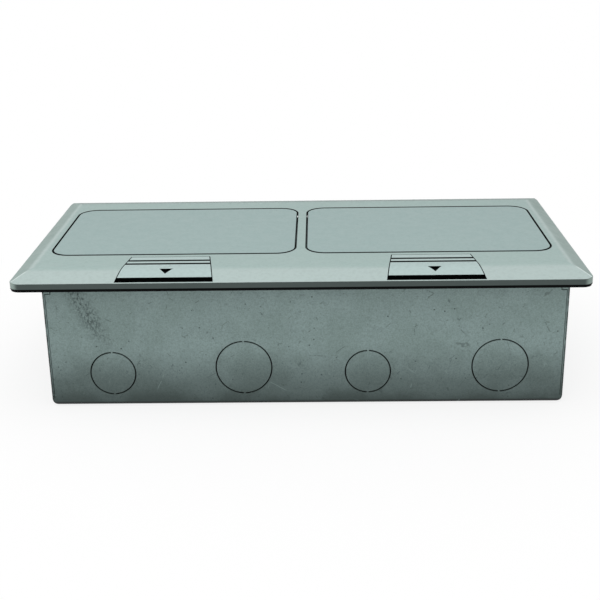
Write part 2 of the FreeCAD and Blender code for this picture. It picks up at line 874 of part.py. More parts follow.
def make_cover_screws():
    """Make the four screws that hold the cover frame down on the tabs of the box."""
    screws = []
    for side in (-1, 1):
        for row in (-1, 1):
            tag = f"cover_screw_{'left' if side < 0 else 'right'}_{'front' if row < 0 else 'rear'}"
            x = dim.box_shift + side * dim.screw_x
            y = row * dim.screw_y
            seat = flange_z + dim.lug_high
            shank = rod(tag + "_shank", (x, y, seat - dim.screw_long), dim.screw_thread / 2,
                        dim.screw_long, "Z")
            head = rod(tag + "_head", (x, y, seat), dim.screw_head / 2, dim.screw_head_high, "Z")
            slot_half = dim.driver_slot / 2
            slot = block(tag + "_slot",
                         (x - dim.screw_head, y - slot_half, seat + dim.screw_head_high / 2),
                         (x + dim.screw_head, y + slot_half, seat + dim.screw_head_high + PAST))
            screws.append(cut(tag, fuse(tag + "_blank", [shank, head]), [slot]))
    return keep(group("cover_screws", screws), "cover_screws")


def make_earth_terminal():
    """Make the earth stud on the floor of the box, with its washer and nut."""
    x, y = dim.box_shift + dim.earth_screw_x, dim.earth_screw_y
    stud = dim.earth_stud / 2
    keep(rod("earth_stud", (x, y, dim.earth_stud_low), stud, dim.earth_stud_long, "Z"), "earth_stud")
    seat = dim.sheet + dim.earth_washer_thick
    washer_blank = rod("washer_blank", (x, y, dim.sheet), dim.earth_washer / 2, dim.earth_washer_thick, "Z")
    washer_hole = rod("washer_hole", (x, y, 0), stud + dim.earth_play, seat + PAST, "Z")
    washer = cut("earth_washer", washer_blank, [washer_hole])
    nut_blank = document.addObject("Part::Prism", "nut_blank")
    nut_blank.Polygon = 6
    bind(nut_blank, "Circumradius", dim.earth_nut / 2)
    bind(nut_blank, "Height", dim.earth_nut_high)
    place(nut_blank, x, y, seat)
    nut_hole = rod("nut_hole", (x, y, 0), stud, seat + dim.earth_nut_high + PAST, "Z")
    nut = cut("earth_nut_body", nut_blank, [nut_hole])
    keep(group("earth_nut", [washer, nut]), "earth_nut")


def make_hinge_pins():
    """Make the pins: one in each outer rim and one through the bar between the lids."""
    pin = dim.hinge_pin / 2
    wall = dim.lid_pitch / 2 + opening_half
    reach = dim.lid_gap + dim.ear_inset + dim.ear_long
    long = dim.pin_grip + reach
    keep(rod("left_hinge_pin", (-wall - dim.pin_grip, hinge_y, hinge_z), pin, long, "X"), "left_hinge_pin")
    keep(rod("right_hinge_pin", (wall - reach, hinge_y, hinge_z), pin, long, "X"),
         "right_hinge_pin")
    half = mullion_half + reach
    keep(rod("middle_hinge_pin", (-half, hinge_y, hinge_z), pin, half * 2, "X"), "middle_hinge_pin")


def make_lid(word, centre):
    """Make one cast lid: plate, hinge ears, screw bosses and the hook for the latch."""
    body = new_body(f"{word}_lid")
    plan = sketch_on(body, "XY_Plane", f"{word}_lid_plan", lid_under)
    outline(plan, rounded(centre, dim.lid_back, dim.lid_length / 2, dim.lid_depth / 2, dim.lid_corner))
    plate = extrude(body, "Pad", plan, dim.lid_thick)
    break_edges(body, f"{word}_lid_edge", plate, dim.edge_break,
                lambda edge: min(v.Point.z for v in edge.Vertexes) > lid_under.number + PAST)
    low_x = centre - dim.lid_length / 2
    high_x = centre + dim.lid_length / 2
    inner_x = high_x - dim.ear_inset - dim.ear_long
    for tag, start, bore_x in (("a", low_x + dim.ear_inset, low_x - BITE), ("b", inner_x, inner_x - BITE)):
        ear = sketch_on(body, "YZ_Plane", f"{word}_ear_{tag}", start)
        outline(ear, [
            (hinge_y - dim.ear_round, hinge_z, dim.ear_round),
            (hinge_y, hinge_z - dim.ear_round, dim.ear_round),
            (hinge_y + dim.ear_round, hinge_z),
            (hinge_y + dim.ear_round, lid_under + BITE),
            (hinge_y - dim.ear_round, lid_under + BITE),
        ])
        extrude(body, "Pad", ear, dim.ear_long)
        rod(f"{word}_ear_bore_{tag}", (bore_x, hinge_y, hinge_z), dim.hinge_pin / 2 + dim.hinge_play,
            dim.ear_inset + dim.ear_long + PAST, "X", body, "SubtractiveCylinder")
    for side, side_word in ((-1, "a"), (1, "b")):
        for boss_y, row_word in ((-dim.flange_front, "front"), (dim.flange_rear, "rear")):
            boss_x = centre + side * (dim.carrier_half + dim.flange_reach / 2)
            rod(f"{word}_boss_{side_word}_{row_word}", (boss_x, boss_y, cheek_z), dim.boss_wide / 2,
                lid_under - cheek_z + BITE, "Z", body, "AdditiveCylinder")
            rod(f"{word}_boss_hole_{side_word}_{row_word}", (boss_x, boss_y, cheek_z - PAST),
                dim.small_screw / 2, lid_under - cheek_z + PAST + dim.lid_thick / 2, "Z",
                body, "SubtractiveCylinder")
    half = dim.leg_wide / 2
    back_y = -dim.panel_top - dim.hook_back
    block(f"{word}_hook_stem", (centre - half, back_y - dim.hook_thick, flange_z - dim.hook_low),
          (centre + half, back_y, lid_under + BITE), body, "AdditiveBox")
    block(f"{word}_hook_nose", (centre - half, -dim.hook_nose, flange_z - dim.hook_low),
          (centre + half, back_y - dim.hook_thick + BITE, latch_under - dim.hook_play), body, "AdditiveBox")
    return keep(body, f"{word}_lid")


def make_latch(word, centre):
    """Make one slide latch, shaped flush with the bevel, with its tongue, leg and barbs."""
    body = new_body(f"{word}_latch")
    plan = sketch_on(body, "XY_Plane", f"{word}_latch_plan", latch_under)
    outline(plan, latch_plan(centre, size(0)))
    extrude(body, "Pad", plan, lid_top - latch_under)
    bevel_cuts(body, latch=True)
    half = dim.latch_front_width / 2 + PAST
    for tag, rear in (("one", dim.groove_one), ("two", dim.groove_two)):
        block(f"{word}_groove_{tag}", (centre - half, -rear - dim.groove_wide, lid_top - dim.groove_deep),
              (centre + half, -rear, lid_top + PAST), body, "SubtractiveBox")
    slope = (dim.cover_crown - dim.cover_edge) / dim.front_bevel
    depth_z = lid_top - dim.arrow_deep - slope * (dim.arrow_base + dim.arrow_long / 2
                                                   - dim.cover_depth / 2 + dim.front_bevel)
    arrow = sketch_on(body, "XY_Plane", f"{word}_arrow", depth_z)
    outline(arrow, [
        (centre - dim.arrow_wide / 2, -dim.arrow_base),
        (centre, -dim.arrow_base - dim.arrow_long),
        (centre + dim.arrow_wide / 2, -dim.arrow_base),
    ])
    extrude(body, "Pocket", arrow, back=True)
    half = dim.tongue_wide / 2
    block(f"{word}_tongue", (centre - half, -dim.latch_rear - PAST, latch_under),
          (centre + half, -dim.tongue_tip, latch_under + dim.tongue_thick), body, "AdditiveBox")
    half = dim.leg_wide / 2
    rear_y = -dim.leg_back
    block(f"{word}_leg", (centre - half, rear_y - dim.leg_thick, flange_z - dim.leg_low),
          (centre + half, rear_y, latch_under + BITE), body, "AdditiveBox")
    half = half + dim.barb
    barb_top = flange_z - dim.latch_play
    block(f"{word}_barbs", (centre - half, rear_y - dim.leg_thick, barb_top - dim.barb_high),
          (centre + half, rear_y, barb_top), body, "AdditiveBox")
    return keep(body, f"{word}_latch")


def wire_section(radius, wire):
    """Return the section of a spring's wire: a plain polygon, at a radius from the axis Z."""
    turns = [2 * math.pi * side / WIRE_SIDES for side in range(WIRE_SIDES)]
    corners = [Vector(radius + wire / 2 * math.cos(turn), 0, wire / 2 * math.sin(turn)) for turn in turns]
    return Part.makePolygon(corners + corners[:1])


def coil(radius, wire, length, turns):
    """Return a coil along Z; its length is over the wires, its first wire centred on z = 0."""
    pitch = (length - wire) / turns
    spine = Part.makeHelix(pitch, length - wire, radius)
    return Part.Wire(spine.Edges).makePipeShell([wire_section(radius, wire)], True, True)


def make_latch_spring(word, centre):
    """Make the compression spring between the frame's post and the latch's leg."""
    front = -dim.post_front.number + dim.post_thick.number
    rear = -dim.leg_back.number - dim.leg_thick.number
    wire = dim.spring_wire.number
    shape = coil((dim.spring_wide.number - wire) / 2, wire, rear - front - 2 * SPRING_END, LATCH_TURNS)
    item = document.addObject("Part::Feature", f"{word}_latch_spring")
    item.Shape = shape
    item.Placement = Placement(Vector(), AIM["Y"])
    place(item, centre, -dim.post_front + dim.post_thick + SPRING_END + dim.spring_wire / 2,
          flange_z - dim.spring_drop)
    return keep(item, f"{word}_latch_spring")


def make_carrier(word, centre):
    """Make the steel carrier: leaning panel, two cheeks and four screw flanges."""
    body = new_body(f"{word}_socket_carrier")
    lean_sine, lean_cosine = sine(dim.panel_lean), cosine(dim.panel_lean)
    top_y, top_z = -dim.panel_top, panel_z
    foot_y = top_y + dim.panel_long * lean_sine
    foot_z = top_z - dim.panel_long * lean_cosine
    skin_y = dim.carrier_sheet * lean_cosine
    skin_z = dim.carrier_sheet * lean_sine
    low_z = cheek_z - dim.cheek_low
    profile = sketch_on(body, "YZ_Plane", f"{word}_carrier_profile", centre)
    outline(profile, [
        (top_y, top_z),
        (foot_y, foot_z),
        (foot_y + dim.cheek_foot, foot_z + dim.cheek_rise),
        (cheek_rear, low_z),
        (cheek_rear, cheek_z),
        (top_y + PAST, cheek_z),
    ])
    extrude(body, "Pad", profile, dim.carrier_half * 2, both=True)
    hollow = sketch_on(body, "YZ_Plane", f"{word}_carrier_hollow", centre)
    outline(hollow, [
        (top_y + skin_y - lean_sine * 5 * PAST, top_z + skin_z + lean_cosine * 5 * PAST),
        (foot_y + skin_y + lean_sine * 5 * PAST, foot_z + skin_z - lean_cosine * 5 * PAST),
        (cheek_rear + FAR, foot_z - 5 * PAST),
        (cheek_rear + FAR, cheek_z + 10 * PAST),
    ])
    extrude(body, "Pocket", hollow, (dim.carrier_half - dim.carrier_sheet) * 2, both=True)
    for side, side_word in ((-1, "a"), (1, "b")):
        root_x = centre + side * (dim.carrier_half - dim.carrier_sheet / 2)
        tip_x = centre + side * (dim.carrier_half + dim.flange_reach)
        low_x, high_x = (root_x, tip_x) if side > 0 else (tip_x, root_x)
        for flange_y, row_word in ((-dim.flange_front, "front"), (dim.flange_rear, "rear")):
            block(f"{word}_flange_{side_word}_{row_word}", (low_x, flange_y - dim.flange_wide / 2, panel_z),
                  (high_x, flange_y + dim.flange_wide / 2, cheek_z), body, "AdditiveBox")
            rod(f"{word}_flange_hole_{side_word}_{row_word}",
                (centre + side * (dim.carrier_half + dim.flange_reach / 2), flange_y, panel_z - PAST),
                dim.small_screw / 2 + dim.screw_play, dim.flange_thick + 2 * PAST, "Z", body,
                "SubtractiveCylinder")
    half = dim.module + dim.module_play
    margin = (dim.panel_long - dim.module) / 2 - dim.module_play
    window = block(f"{word}_window", (0, 0, 0),
                   (half * 2, dim.carrier_sheet + 4 * PAST, dim.panel_long - margin * 2), body,
                   "SubtractiveBox")
    window.Placement = Placement(Vector(), Rotation(Vector(1, 0, 0), dim.panel_lean.number))
    bind(window, "Placement.Rotation.Angle", dim.panel_lean)
    reach = dim.panel_long - margin
    place(window, centre - half, top_y + reach * lean_sine - lean_cosine * 2 * PAST,
          top_z - reach * lean_cosine - lean_sine * 2 * PAST)
    screw_y, screw_z = sector_screws()
    for tag, hole_y, hole_z in (("upper", screw_y[0], screw_z[0]), ("lower", screw_y[1], screw_z[1])):
        wall = centre - inward(word) * dim.carrier_half
        rod(f"{word}_sector_hole_{tag}", (wall - 3 * PAST, hole_y, hole_z), dim.small_screw / 2,
            6 * PAST, "X", body, "SubtractiveCylinder")
    return keep(body, f"{word}_socket_carrier")


def inward(word):
    """Return which way a unit's inner side lies: minus one when it lies to the right."""
    return -1 if word == "left" else 1


def sector_screws():
    """Return the depths and heights of the two screws that hold the sector on its cheek."""
    rear = cheek_rear - dim.sector_screw_in
    places_y = (rear, rear - dim.sector_screw_step)
    places_z = (cheek_z - dim.sector_screw_top, cheek_z - dim.sector_screw_low)
    return places_y, places_z


def make_carrier_screws(word, centre):
    """Make the four screws that hold the carrier under its lid."""
    screws = []
    for side, side_word in ((-1, "a"), (1, "b")):
        for flange_y, row_word in ((-dim.flange_front, "front"), (dim.flange_rear, "rear")):
            tag = f"{word}_carrier_screw_{side_word}_{row_word}"
            x = centre + side * (dim.carrier_half + dim.flange_reach / 2)
            shank = rod(tag + "_shank", (x, flange_y, panel_z), dim.small_screw / 2,
                        lid_under - panel_z + dim.lid_thick / 2 - dim.thread_spare, "Z")
            head = rod(tag + "_head", (x, flange_y, panel_z - dim.head_high), dim.small_head / 2,
                       dim.head_high, "Z")
            screws.append(fuse(tag, [shank, head]))
    return keep(group(f"{word}_carrier_screws", screws), f"{word}_carrier_screws")


def make_power_socket(word, centre):
    """Make the three-pin socket module, its sliding shutter and its terminals."""
    left = centre - dim.module
    play = dim.module_play
    margin = (dim.panel_long - dim.module) / 2
    middle_x = dim.module / 2
    middle_z = -dim.panel_long / 2
    tag = f"{word}_power"
    face = block(tag + "_face", (play, -dim.face_proud, -margin - dim.module + play),
                 (dim.module - play, dim.carrier_sheet, -margin - play))
    body_half = dim.module_body / 2
    housing = block(tag + "_housing",
                    (dim.module_side, dim.carrier_sheet, middle_z - body_half - dim.module_drop),
                    (dim.module - dim.module_side, dim.module_deep, middle_z + body_half - dim.module_drop))
    mouth = -dim.face_proud - PAST
    low_z = middle_z - dim.pin_low
    earth_z = low_z + dim.pin_rise
    ways = [block(tag + "_earth_way",
                  (middle_x - dim.earth_way_wide / 2, mouth, earth_z - dim.earth_way_high / 2),
                  (middle_x + dim.earth_way_wide / 2, dim.way_deep, earth_z + dim.earth_way_high / 2))]
    for side, side_word in ((-1, "line"), (1, "neutral")):
        pin_x = middle_x + side * dim.pin_apart / 2
        ways.append(block(f"{tag}_{side_word}_way",
                          (pin_x - dim.pin_way_wide / 2, mouth, low_z - dim.pin_way_high / 2),
                          (pin_x + dim.pin_way_wide / 2, dim.way_deep, low_z + dim.pin_way_high / 2)))
    shutter_half = dim.shutter_wide / 2
    shutter_low = low_z - dim.shutter_high / 2 + dim.shutter_lift
    shutter_top = shutter_low + dim.shutter_high
    shutter_back = dim.shutter_in + dim.shutter_thick
    way_half = shutter_half + dim.shutter_play
    ways.append(block(tag + "_shutter_way",
                      (middle_x - way_half, dim.shutter_in - dim.shutter_slack,
                       shutter_low - dim.shutter_play),
                      (middle_x + way_half, shutter_back + dim.shutter_slack,
                       shutter_top + dim.shutter_travel + dim.shutter_play)))
    socket = cut(f"{word}_power_socket", fuse(tag + "_moulding", [face, housing]), ways)
    keep(lean(socket, left), f"{word}_power_socket")
    plate = block(f"{word}_shutter_plate", (middle_x - shutter_half, dim.shutter_in, shutter_low),
                  (middle_x + shutter_half, shutter_back, shutter_top))
    keep(lean(group(f"{word}_shutter_group", [plate]), left), f"{word}_power_shutter")
    clamps = []
    clamp_half = dim.clamp_wide / 2
    clamp_back = dim.module_deep + dim.clamp_deep
    for offset, height, side_word in ((-dim.clamp_apart, dim.clamp_high, "line"),
                                      (dim.clamp_apart, dim.clamp_high, "neutral"),
                                      (size(0), -dim.clamp_low, "earth")):
        clamp_x, clamp_z = middle_x + offset, middle_z + height
        clamp = block(f"{tag}_{side_word}_clamp",
                      (clamp_x - clamp_half, dim.module_deep, clamp_z - clamp_half),
                      (clamp_x + clamp_half, clamp_back, clamp_z + clamp_half))
        wire_way = rod(f"{tag}_{side_word}_wire_way",
                       (clamp_x, dim.module_deep + dim.clamp_deep / 2, clamp_z - clamp_half - PAST),
                       dim.clamp_wire / 2, clamp_half + 2 * PAST, "Z")
        screw = rod(f"{tag}_{side_word}_screw", (clamp_x, clamp_back, clamp_z), dim.clamp_screw / 2,
                    dim.clamp_head, "Y")
        clamps.append(fuse(f"{tag}_{side_word}_terminal",
                           [cut(f"{tag}_{side_word}_block", clamp, [wire_way]), screw]))
    keep(lean(group(f"{word}_power_terminals", clamps), left), f"{word}_power_terminals")


def make_data_outlet(word, name, centre, offset):
    """Make one half-width data module with its socket opening."""
    play = dim.module_play
    half = dim.module / 2
    margin = (dim.panel_long - dim.module) / 2
    middle_z = -dim.panel_long / 2
    tag = f"{word}_{name}"
    face = block(tag + "_face", (play, -dim.face_proud, -margin - dim.module + play),
                 (half - play, dim.carrier_sheet, -margin - play))
    jack = block(tag + "_jack", (dim.jack_side, dim.carrier_sheet, middle_z - dim.jack_down),
                 (half - dim.jack_side, dim.module_deep - dim.jack_side, middle_z + dim.jack_up))
    mouth = -dim.face_proud - PAST
    port = block(tag + "_port", (half / 2 - dim.port_wide / 2, mouth, middle_z - dim.port_down),
                 (half / 2 + dim.port_wide / 2, dim.port_deep, middle_z + dim.port_up))
    notch = block(tag + "_notch", (half / 2 - dim.notch_wide / 2, mouth, middle_z - dim.notch_down),
                  (half / 2 + dim.notch_wide / 2, dim.port_deep, middle_z - dim.port_down + PAST))
    outlet = cut(tag, fuse(tag + "_moulding", [face, jack]), [port, notch])
    return keep(lean(outlet, centre + offset), tag)


def tooth_outline(teeth, phase, first, last):
    """Return the points of a run of involute teeth about the origin, in the YZ plane.

    A tooth stands at the phase angle. Angles are in degrees, anticlockwise from +Y.
    """
    module = dim.tooth_module.number
    pitch = module * teeth / 2
    base = pitch * math.cos(math.radians(PRESSURE_ANGLE))
    tip = pitch + ADDENDUM * module
    foot = pitch - DEDENDUM * module
    involute = math.tan(math.radians(PRESSURE_ANGLE)) - math.radians(PRESSURE_ANGLE)
    half_tooth = math.pi / (2 * teeth) - BACKLASH / 4 / pitch
    points = []
    step = 360.0 / teeth
    count_from = math.ceil((first - phase) / step)
    count_to = math.floor((last - phase) / step)
    for count in range(count_from, count_to + 1):
        middle = math.radians(phase + count * step)
        flank = []
        for part in range(4):
            radius = max(foot, base) + (tip - max(foot, base)) * part / 3
            spread = math.acos(min(1.0, base / radius))
            angle = half_tooth + involute - (math.tan(spread) - spread)
            flank.append((radius, angle))
        root_angle = flank[0][1]
        points.append((foot, middle - root_angle))
        points.extend((radius, middle - angle) for radius, angle in flank)
        points.extend((radius, middle + angle) for radius, angle in reversed(flank))
        points.append((foot, middle + root_angle))
    return [Vector(0, radius * math.cos(angle), radius * math.sin(angle)) for radius, angle in points]


def plate_of(points, start_x, length):
    """Return a plate of the given outline in the YZ plane, from start_x along +X."""
    wire = Part.makePolygon(points + [points[0]])
    plate = Part.Face(wire).extrude(Vector(length, 0, 0))
    return plate.translated(Vector(start_x, 0, 0))


def make_sector(word):
    """Make the toothed sector that the carrier turns past the damper's pinion."""
    teeth = int(dim.sector_teeth.number)
    inner = sector_radius.number - dim.sector_rim.number
    step = 360.0 / teeth
    rim = tooth_outline(teeth, -90 + step / 2, SECTOR_FROM, SECTOR_TO)
    turn = [math.radians(SECTOR_TO + (SECTOR_FROM - SECTOR_TO) * part / 12) for part in range(13)]
    hollow = [Vector(0, inner * math.cos(angle), inner * math.sin(angle)) for angle in turn]
    screw_y, screw_z = sector_screws()
    back = Vector(0, -hinge_y.number, -hinge_z.number)
    holes = [Vector(0, y.number, z.number) + back for y, z in zip(screw_y, screw_z)]
    wide, heel = dim.sector_arm.number, dim.sector_heel.number
    waist = Vector(0, -dim.sector_waist_y.number, -dim.sector_waist_z.number)
    arm = [holes[0] + Vector(0, heel, wide), holes[0] + Vector(0, -wide, wide),
           holes[1] + Vector(0, -wide, -wide)]
    points = rim + hollow[:-3] + [waist] + arm
    reach = dim.lid_pitch.number / 2 - dim.carrier_half.number
    low_x = reach - dim.sector_thick.number if word == "right" else -reach
    shape = plate_of(points, low_x, dim.sector_thick.number)
    for hole in holes:
        drill = Part.makeCylinder(dim.small_screw.number / 2, 2 * FAR, Vector(-FAR, hole.y, hole.z),
                                  Vector(1, 0, 0))
        shape = shape.cut(drill)
    tail = tail_place()
    pin_long = reach - dim.sector_thick.number - dim.damper_long.number - dim.web_thick.number / 2
    pin_x = low_x - pin_long if word == "right" else low_x + dim.sector_thick.number
    pin = Part.makeCylinder(dim.spring_pin.number / 2, pin_long, Vector(pin_x, tail[0], tail[1]),
                            Vector(1, 0, 0))
    item = document.addObject("Part::Feature", f"{word}_damper_sector")
    item.Shape = shape.fuse(pin)
    place(item, size(0), hinge_y, hinge_z)
    return keep(item, f"{word}_damper_sector")


def tail_place():
    """Return the place of the spring pin on the sector, from the hinge axis."""
    radius = sector_radius.number - dim.tail_inset.number
    angle = math.radians(SECTOR_TO - TAIL_TURN)
    return radius * math.cos(angle), radius * math.sin(angle)


def make_sector_screws(word):
    """Make the two screws that hold a sector on its cheek."""
    side = 1 if word == "right" else -1
    cheek = dim.lid_pitch / 2 - dim.carrier_half
    face = cheek - dim.sector_thick
    screws = []
    for tag, y, z in zip(("upper", "lower"), *sector_screws()):
        long = dim.sector_thick + dim.carrier_sheet
        low_x = face if side > 0 else -cheek - dim.carrier_sheet
        shank = rod(f"{word}_sector_screw_{tag}_shank", (low_x, y, z), dim.small_screw / 2, long, "X")
        head_x = face - dim.low_head_high if side > 0 else -face
        head = rod(f"{word}_sector_screw_{tag}_head", (head_x, y, z), dim.small_head / 2,
                   dim.low_head_high, "X")
        screws.append(fuse(f"{word}_sector_screw_{tag}", [shank, head]))
    return keep(group(f"{word}_sector_screws", screws), f"{word}_sector_screws")


def make_bracket():
    """Make the steel bracket under the bar between the lids that carries both dampers."""
    body = new_body("damper_bracket")
    half = dim.web_thick / 2
    top = flange_z
    web = sketch_on(body, "YZ_Plane", "web_profile")
    outline(web, [
        (hinge_y - dim.web_front, top - dim.bracket_plate),
        (hinge_y - dim.web_front, top - dim.web_short),
        (hinge_y - dim.web_knee, top - dim.web_mid),
        (hinge_y + dim.web_heel, top - dim.web_low),
        (hinge_y + dim.web_rear, top - dim.web_low),
        (hinge_y + dim.web_rear, top - dim.bracket_plate),
    ])
    extrude(body, "Pad", web, dim.web_thick, both=True)
    wing = mullion_half + dim.ledge_width - dim.bracket_play
    block("bracket_flange", (-wing, hinge_y - dim.bracket_from, top - dim.bracket_plate),
          (wing, hinge_y - dim.bracket_to, top), body, "AdditiveBox")
    for tag, y in zip(("front", "rear"), bracket_screws_y):
        rod(f"bracket_hole_{tag}", (0, y, top - dim.bracket_plate - PAST), dim.small_screw / 2,
            dim.bracket_plate + 2 * PAST, "Z", body, "SubtractiveCylinder")
    for tag, z in (("upper", pinion_z + dim.damper_screw), ("lower", pinion_z - dim.damper_screw)):
        rod(f"damper_hole_{tag}", (-half - PAST, pinion_y, z), dim.small_screw / 2,
            dim.web_thick + 2 * PAST, "X", body, "SubtractiveCylinder")
    reach = dim.web_thick / 2 + dim.damper_long + dim.lift_offset * 2
    rod("spring_posts", (-reach, spring_post_y, top - dim.spring_post_drop), dim.spring_post / 2,
        reach * 2, "X", body, "AdditiveCylinder")
    return keep(body, "damper_bracket")


def make_bracket_screws():
    """Make the two screws that hold the bracket up under the frame."""
    screws = []
    for tag, y in zip(("front", "rear"), bracket_screws_y):
        seat = flange_z - dim.bracket_plate
        shank = rod(f"bracket_screw_{tag}_shank", (0, y, seat), dim.small_screw / 2,
                    dim.bracket_plate + dim.bracket_bite, "Z")
        head = rod(f"bracket_screw_{tag}_head", (0, y, seat - dim.head_high), dim.small_head / 2,
                   dim.head_high, "Z")
        screws.append(fuse(f"bracket_screw_{tag}", [shank, head]))
    return keep(group("bracket_screws", screws), "bracket_screws")


def make_damper(word):
    """Make one rotary damper: its housing on the web and its pinion with the shaft."""
    side = 1 if word == "right" else -1
    web = dim.web_thick / 2
    radius = dim.damper_wide / 2
    face = web + dim.damper_long
    low_x = web if side > 0 else -web - dim.damper_plate
    ear_half = dim.damper_ear_wide / 2
    ears = block(f"{word}_damper_ears", (low_x, pinion_y - ear_half, pinion_z - dim.damper_ear / 2),
                 (low_x + dim.damper_plate, pinion_y + ear_half, pinion_z + dim.damper_ear / 2))
    drum = rod(f"{word}_damper_drum", (web if side > 0 else -face, pinion_y, pinion_z), radius,
               dim.damper_long, "X")
    bore_x = web + dim.damper_floor if side > 0 else -face - PAST
    bore = rod(f"{word}_damper_bore", (bore_x, pinion_y, pinion_z),
               dim.damper_shaft / 2 + dim.damper_bore_play, dim.damper_long + PAST - dim.damper_floor, "X")
    tools = [bore]
    for tag, z in (("upper", pinion_z + dim.damper_screw), ("lower", pinion_z - dim.damper_screw)):
        tools.append(rod(f"{word}_damper_ear_hole_{tag}", (low_x - PAST, pinion_y, z), dim.small_screw / 2,
                         dim.damper_plate + 2 * PAST, "X"))
    housing = cut(f"{word}_damper_housing", fuse(f"{word}_damper_blank", [ears, drum]), tools)
    keep(housing, f"{word}_damper_housing")
    teeth = int(dim.pinion_teeth.number)
    points = tooth_outline(teeth, 90.0, 90.0 - 359.0, 90.0)
    reach = dim.lid_pitch.number / 2 - dim.carrier_half.number
    middle = reach - dim.sector_thick.number / 2
    long = dim.pinion_long.number
    start = web.number + dim.damper_floor.number + dim.damper_end_play.number
    end = middle + long / 2
    pinion = plate_of(points, middle - long / 2 if side > 0 else -end, long)
    shaft = Part.makeCylinder(dim.damper_shaft.number / 2, end - start,
                              Vector(start if side > 0 else -end, 0, 0), Vector(1, 0, 0))
    item = document.addObject("Part::Feature", f"{word}_damper_pinion")
    item.Shape = pinion.fuse(shaft)
    place(item, size(0), pinion_y, pinion_z)
    return keep(item, f"{word}_damper_pinion")


def make_damper_screws():
    """Make the four screws that hold the two dampers on the web."""
    screws = []
    web = dim.web_thick / 2
    for side, word in ((-1, "left"), (1, "right")):
        for tag, z in (("upper", pinion_z + dim.damper_screw), ("lower", pinion_z - dim.damper_screw)):
            name = f"{word}_damper_screw_{tag}"
            gap = dim.damper_tip_gap
            long = web + dim.damper_plate - gap
            shank = rod(name + "_shank", (gap if side > 0 else -gap - long, pinion_y, z),
                        dim.small_screw / 2, long, "X")
            seat = web + dim.damper_plate
            head = rod(name + "_head", (seat if side > 0 else -seat - dim.low_head_high, pinion_y, z),
                       dim.damper_head / 2, dim.low_head_high, "X")
            screws.append(fuse(name, [shank, head]))
    return keep(group("damper_screws", screws), "damper_screws")


def make_lift_spring(word):
    """Make the extension spring that pulls the sector round and lifts the lid."""
    side = 1 if word == "right" else -1
    tail = tail_place()
    x = side * (dim.web_thick.number / 2 + dim.damper_long.number + dim.lift_offset.number)
    upper = Vector(x, hinge_y.number + tail[0], hinge_z.number + tail[1])
    lower = Vector(x, spring_post_y.number, flange_z.number - dim.spring_post_drop.number)
    wire, radius = dim.lift_wire.number, dim.lift_radius.number
    span = upper - lower
    aim = Rotation(Vector(0, 0, 1), span)
    hook = dim.lift_hook.number
    body = coil(radius, wire, span.Length - 2 * hook, LIFT_TURNS)
    body = body.translated(Vector(0, 0, hook + wire / 2))
    body.Placement = Placement(lower, aim).multiply(body.Placement)
    rings = []
    for end, inner in ((lower, dim.spring_post.number / 2), (upper, dim.spring_pin.number / 2)):
        section = Part.Face(wire_section(inner + dim.ring_play.number + wire / 2, wire))
        ring = section.revolve(Vector(), Vector(0, 0, 1), 360)
        ring.Placement = Placement(end, AIM["X"])
        rings.append(ring)
    item = document.addObject("Part::Feature", f"{word}_lift_spring")
    item.Shape = Part.makeCompound([body] + rings)
    return keep(item, f"{word}_lift_spring")


def write_parts():
    """Check every object and write each sub-part to its own file."""
    document.recompute()
    failed = [item.Name for item in document.Objects if {"Invalid", "Error"} & set(item.State)]
    if failed:
        raise RuntimeError(f"objects in error: {failed}")
    for item in subparts:
        if item.Shape.isNull() or not item.Shape.isValid():
            raise RuntimeError(f"{item.Label} has no valid shape")
    os.makedirs("parts", exist_ok=True)
    for item in subparts:
        item.Shape.exportStep(f"parts/{item.Label}.step")
        print(item.Label, len(item.Shape.Solids), round(item.Shape.Volume, 1))


make_back_box()
make_gasket()
make_cover_frame()
make_cover_screws()
make_earth_terminal()
make_hinge_pins()
make_bracket()
make_bracket_screws()
make_damper_screws()
for unit, unit_centre in (("left", -dim.lid_pitch / 2), ("right", dim.lid_pitch / 2)):
    make_lid(unit, unit_centre)
    make_latch(unit, unit_centre)
    make_latch_spring(unit, unit_centre)
    make_carrier(unit, unit_centre)
    make_carrier_screws(unit, unit_centre)
    make_power_socket(unit, unit_centre)
    make_data_outlet(unit, "first_data_outlet", unit_centre, 0)
    make_data_outlet(unit, "second_data_outlet", unit_centre, dim.module / 2)
    make_sector(unit)
    make_sector_screws(unit)
    make_damper(unit)
    make_lift_spring(unit)
write_parts()
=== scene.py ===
"""Looks, stage and camera for the twin pop-up floor socket box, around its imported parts."""

import json
import logging
import math
from dataclasses import dataclass
from enum import Enum
from functools import cached_property
from typing import Any

import bmesh
import bpy
from mathutils import Matrix, Vector

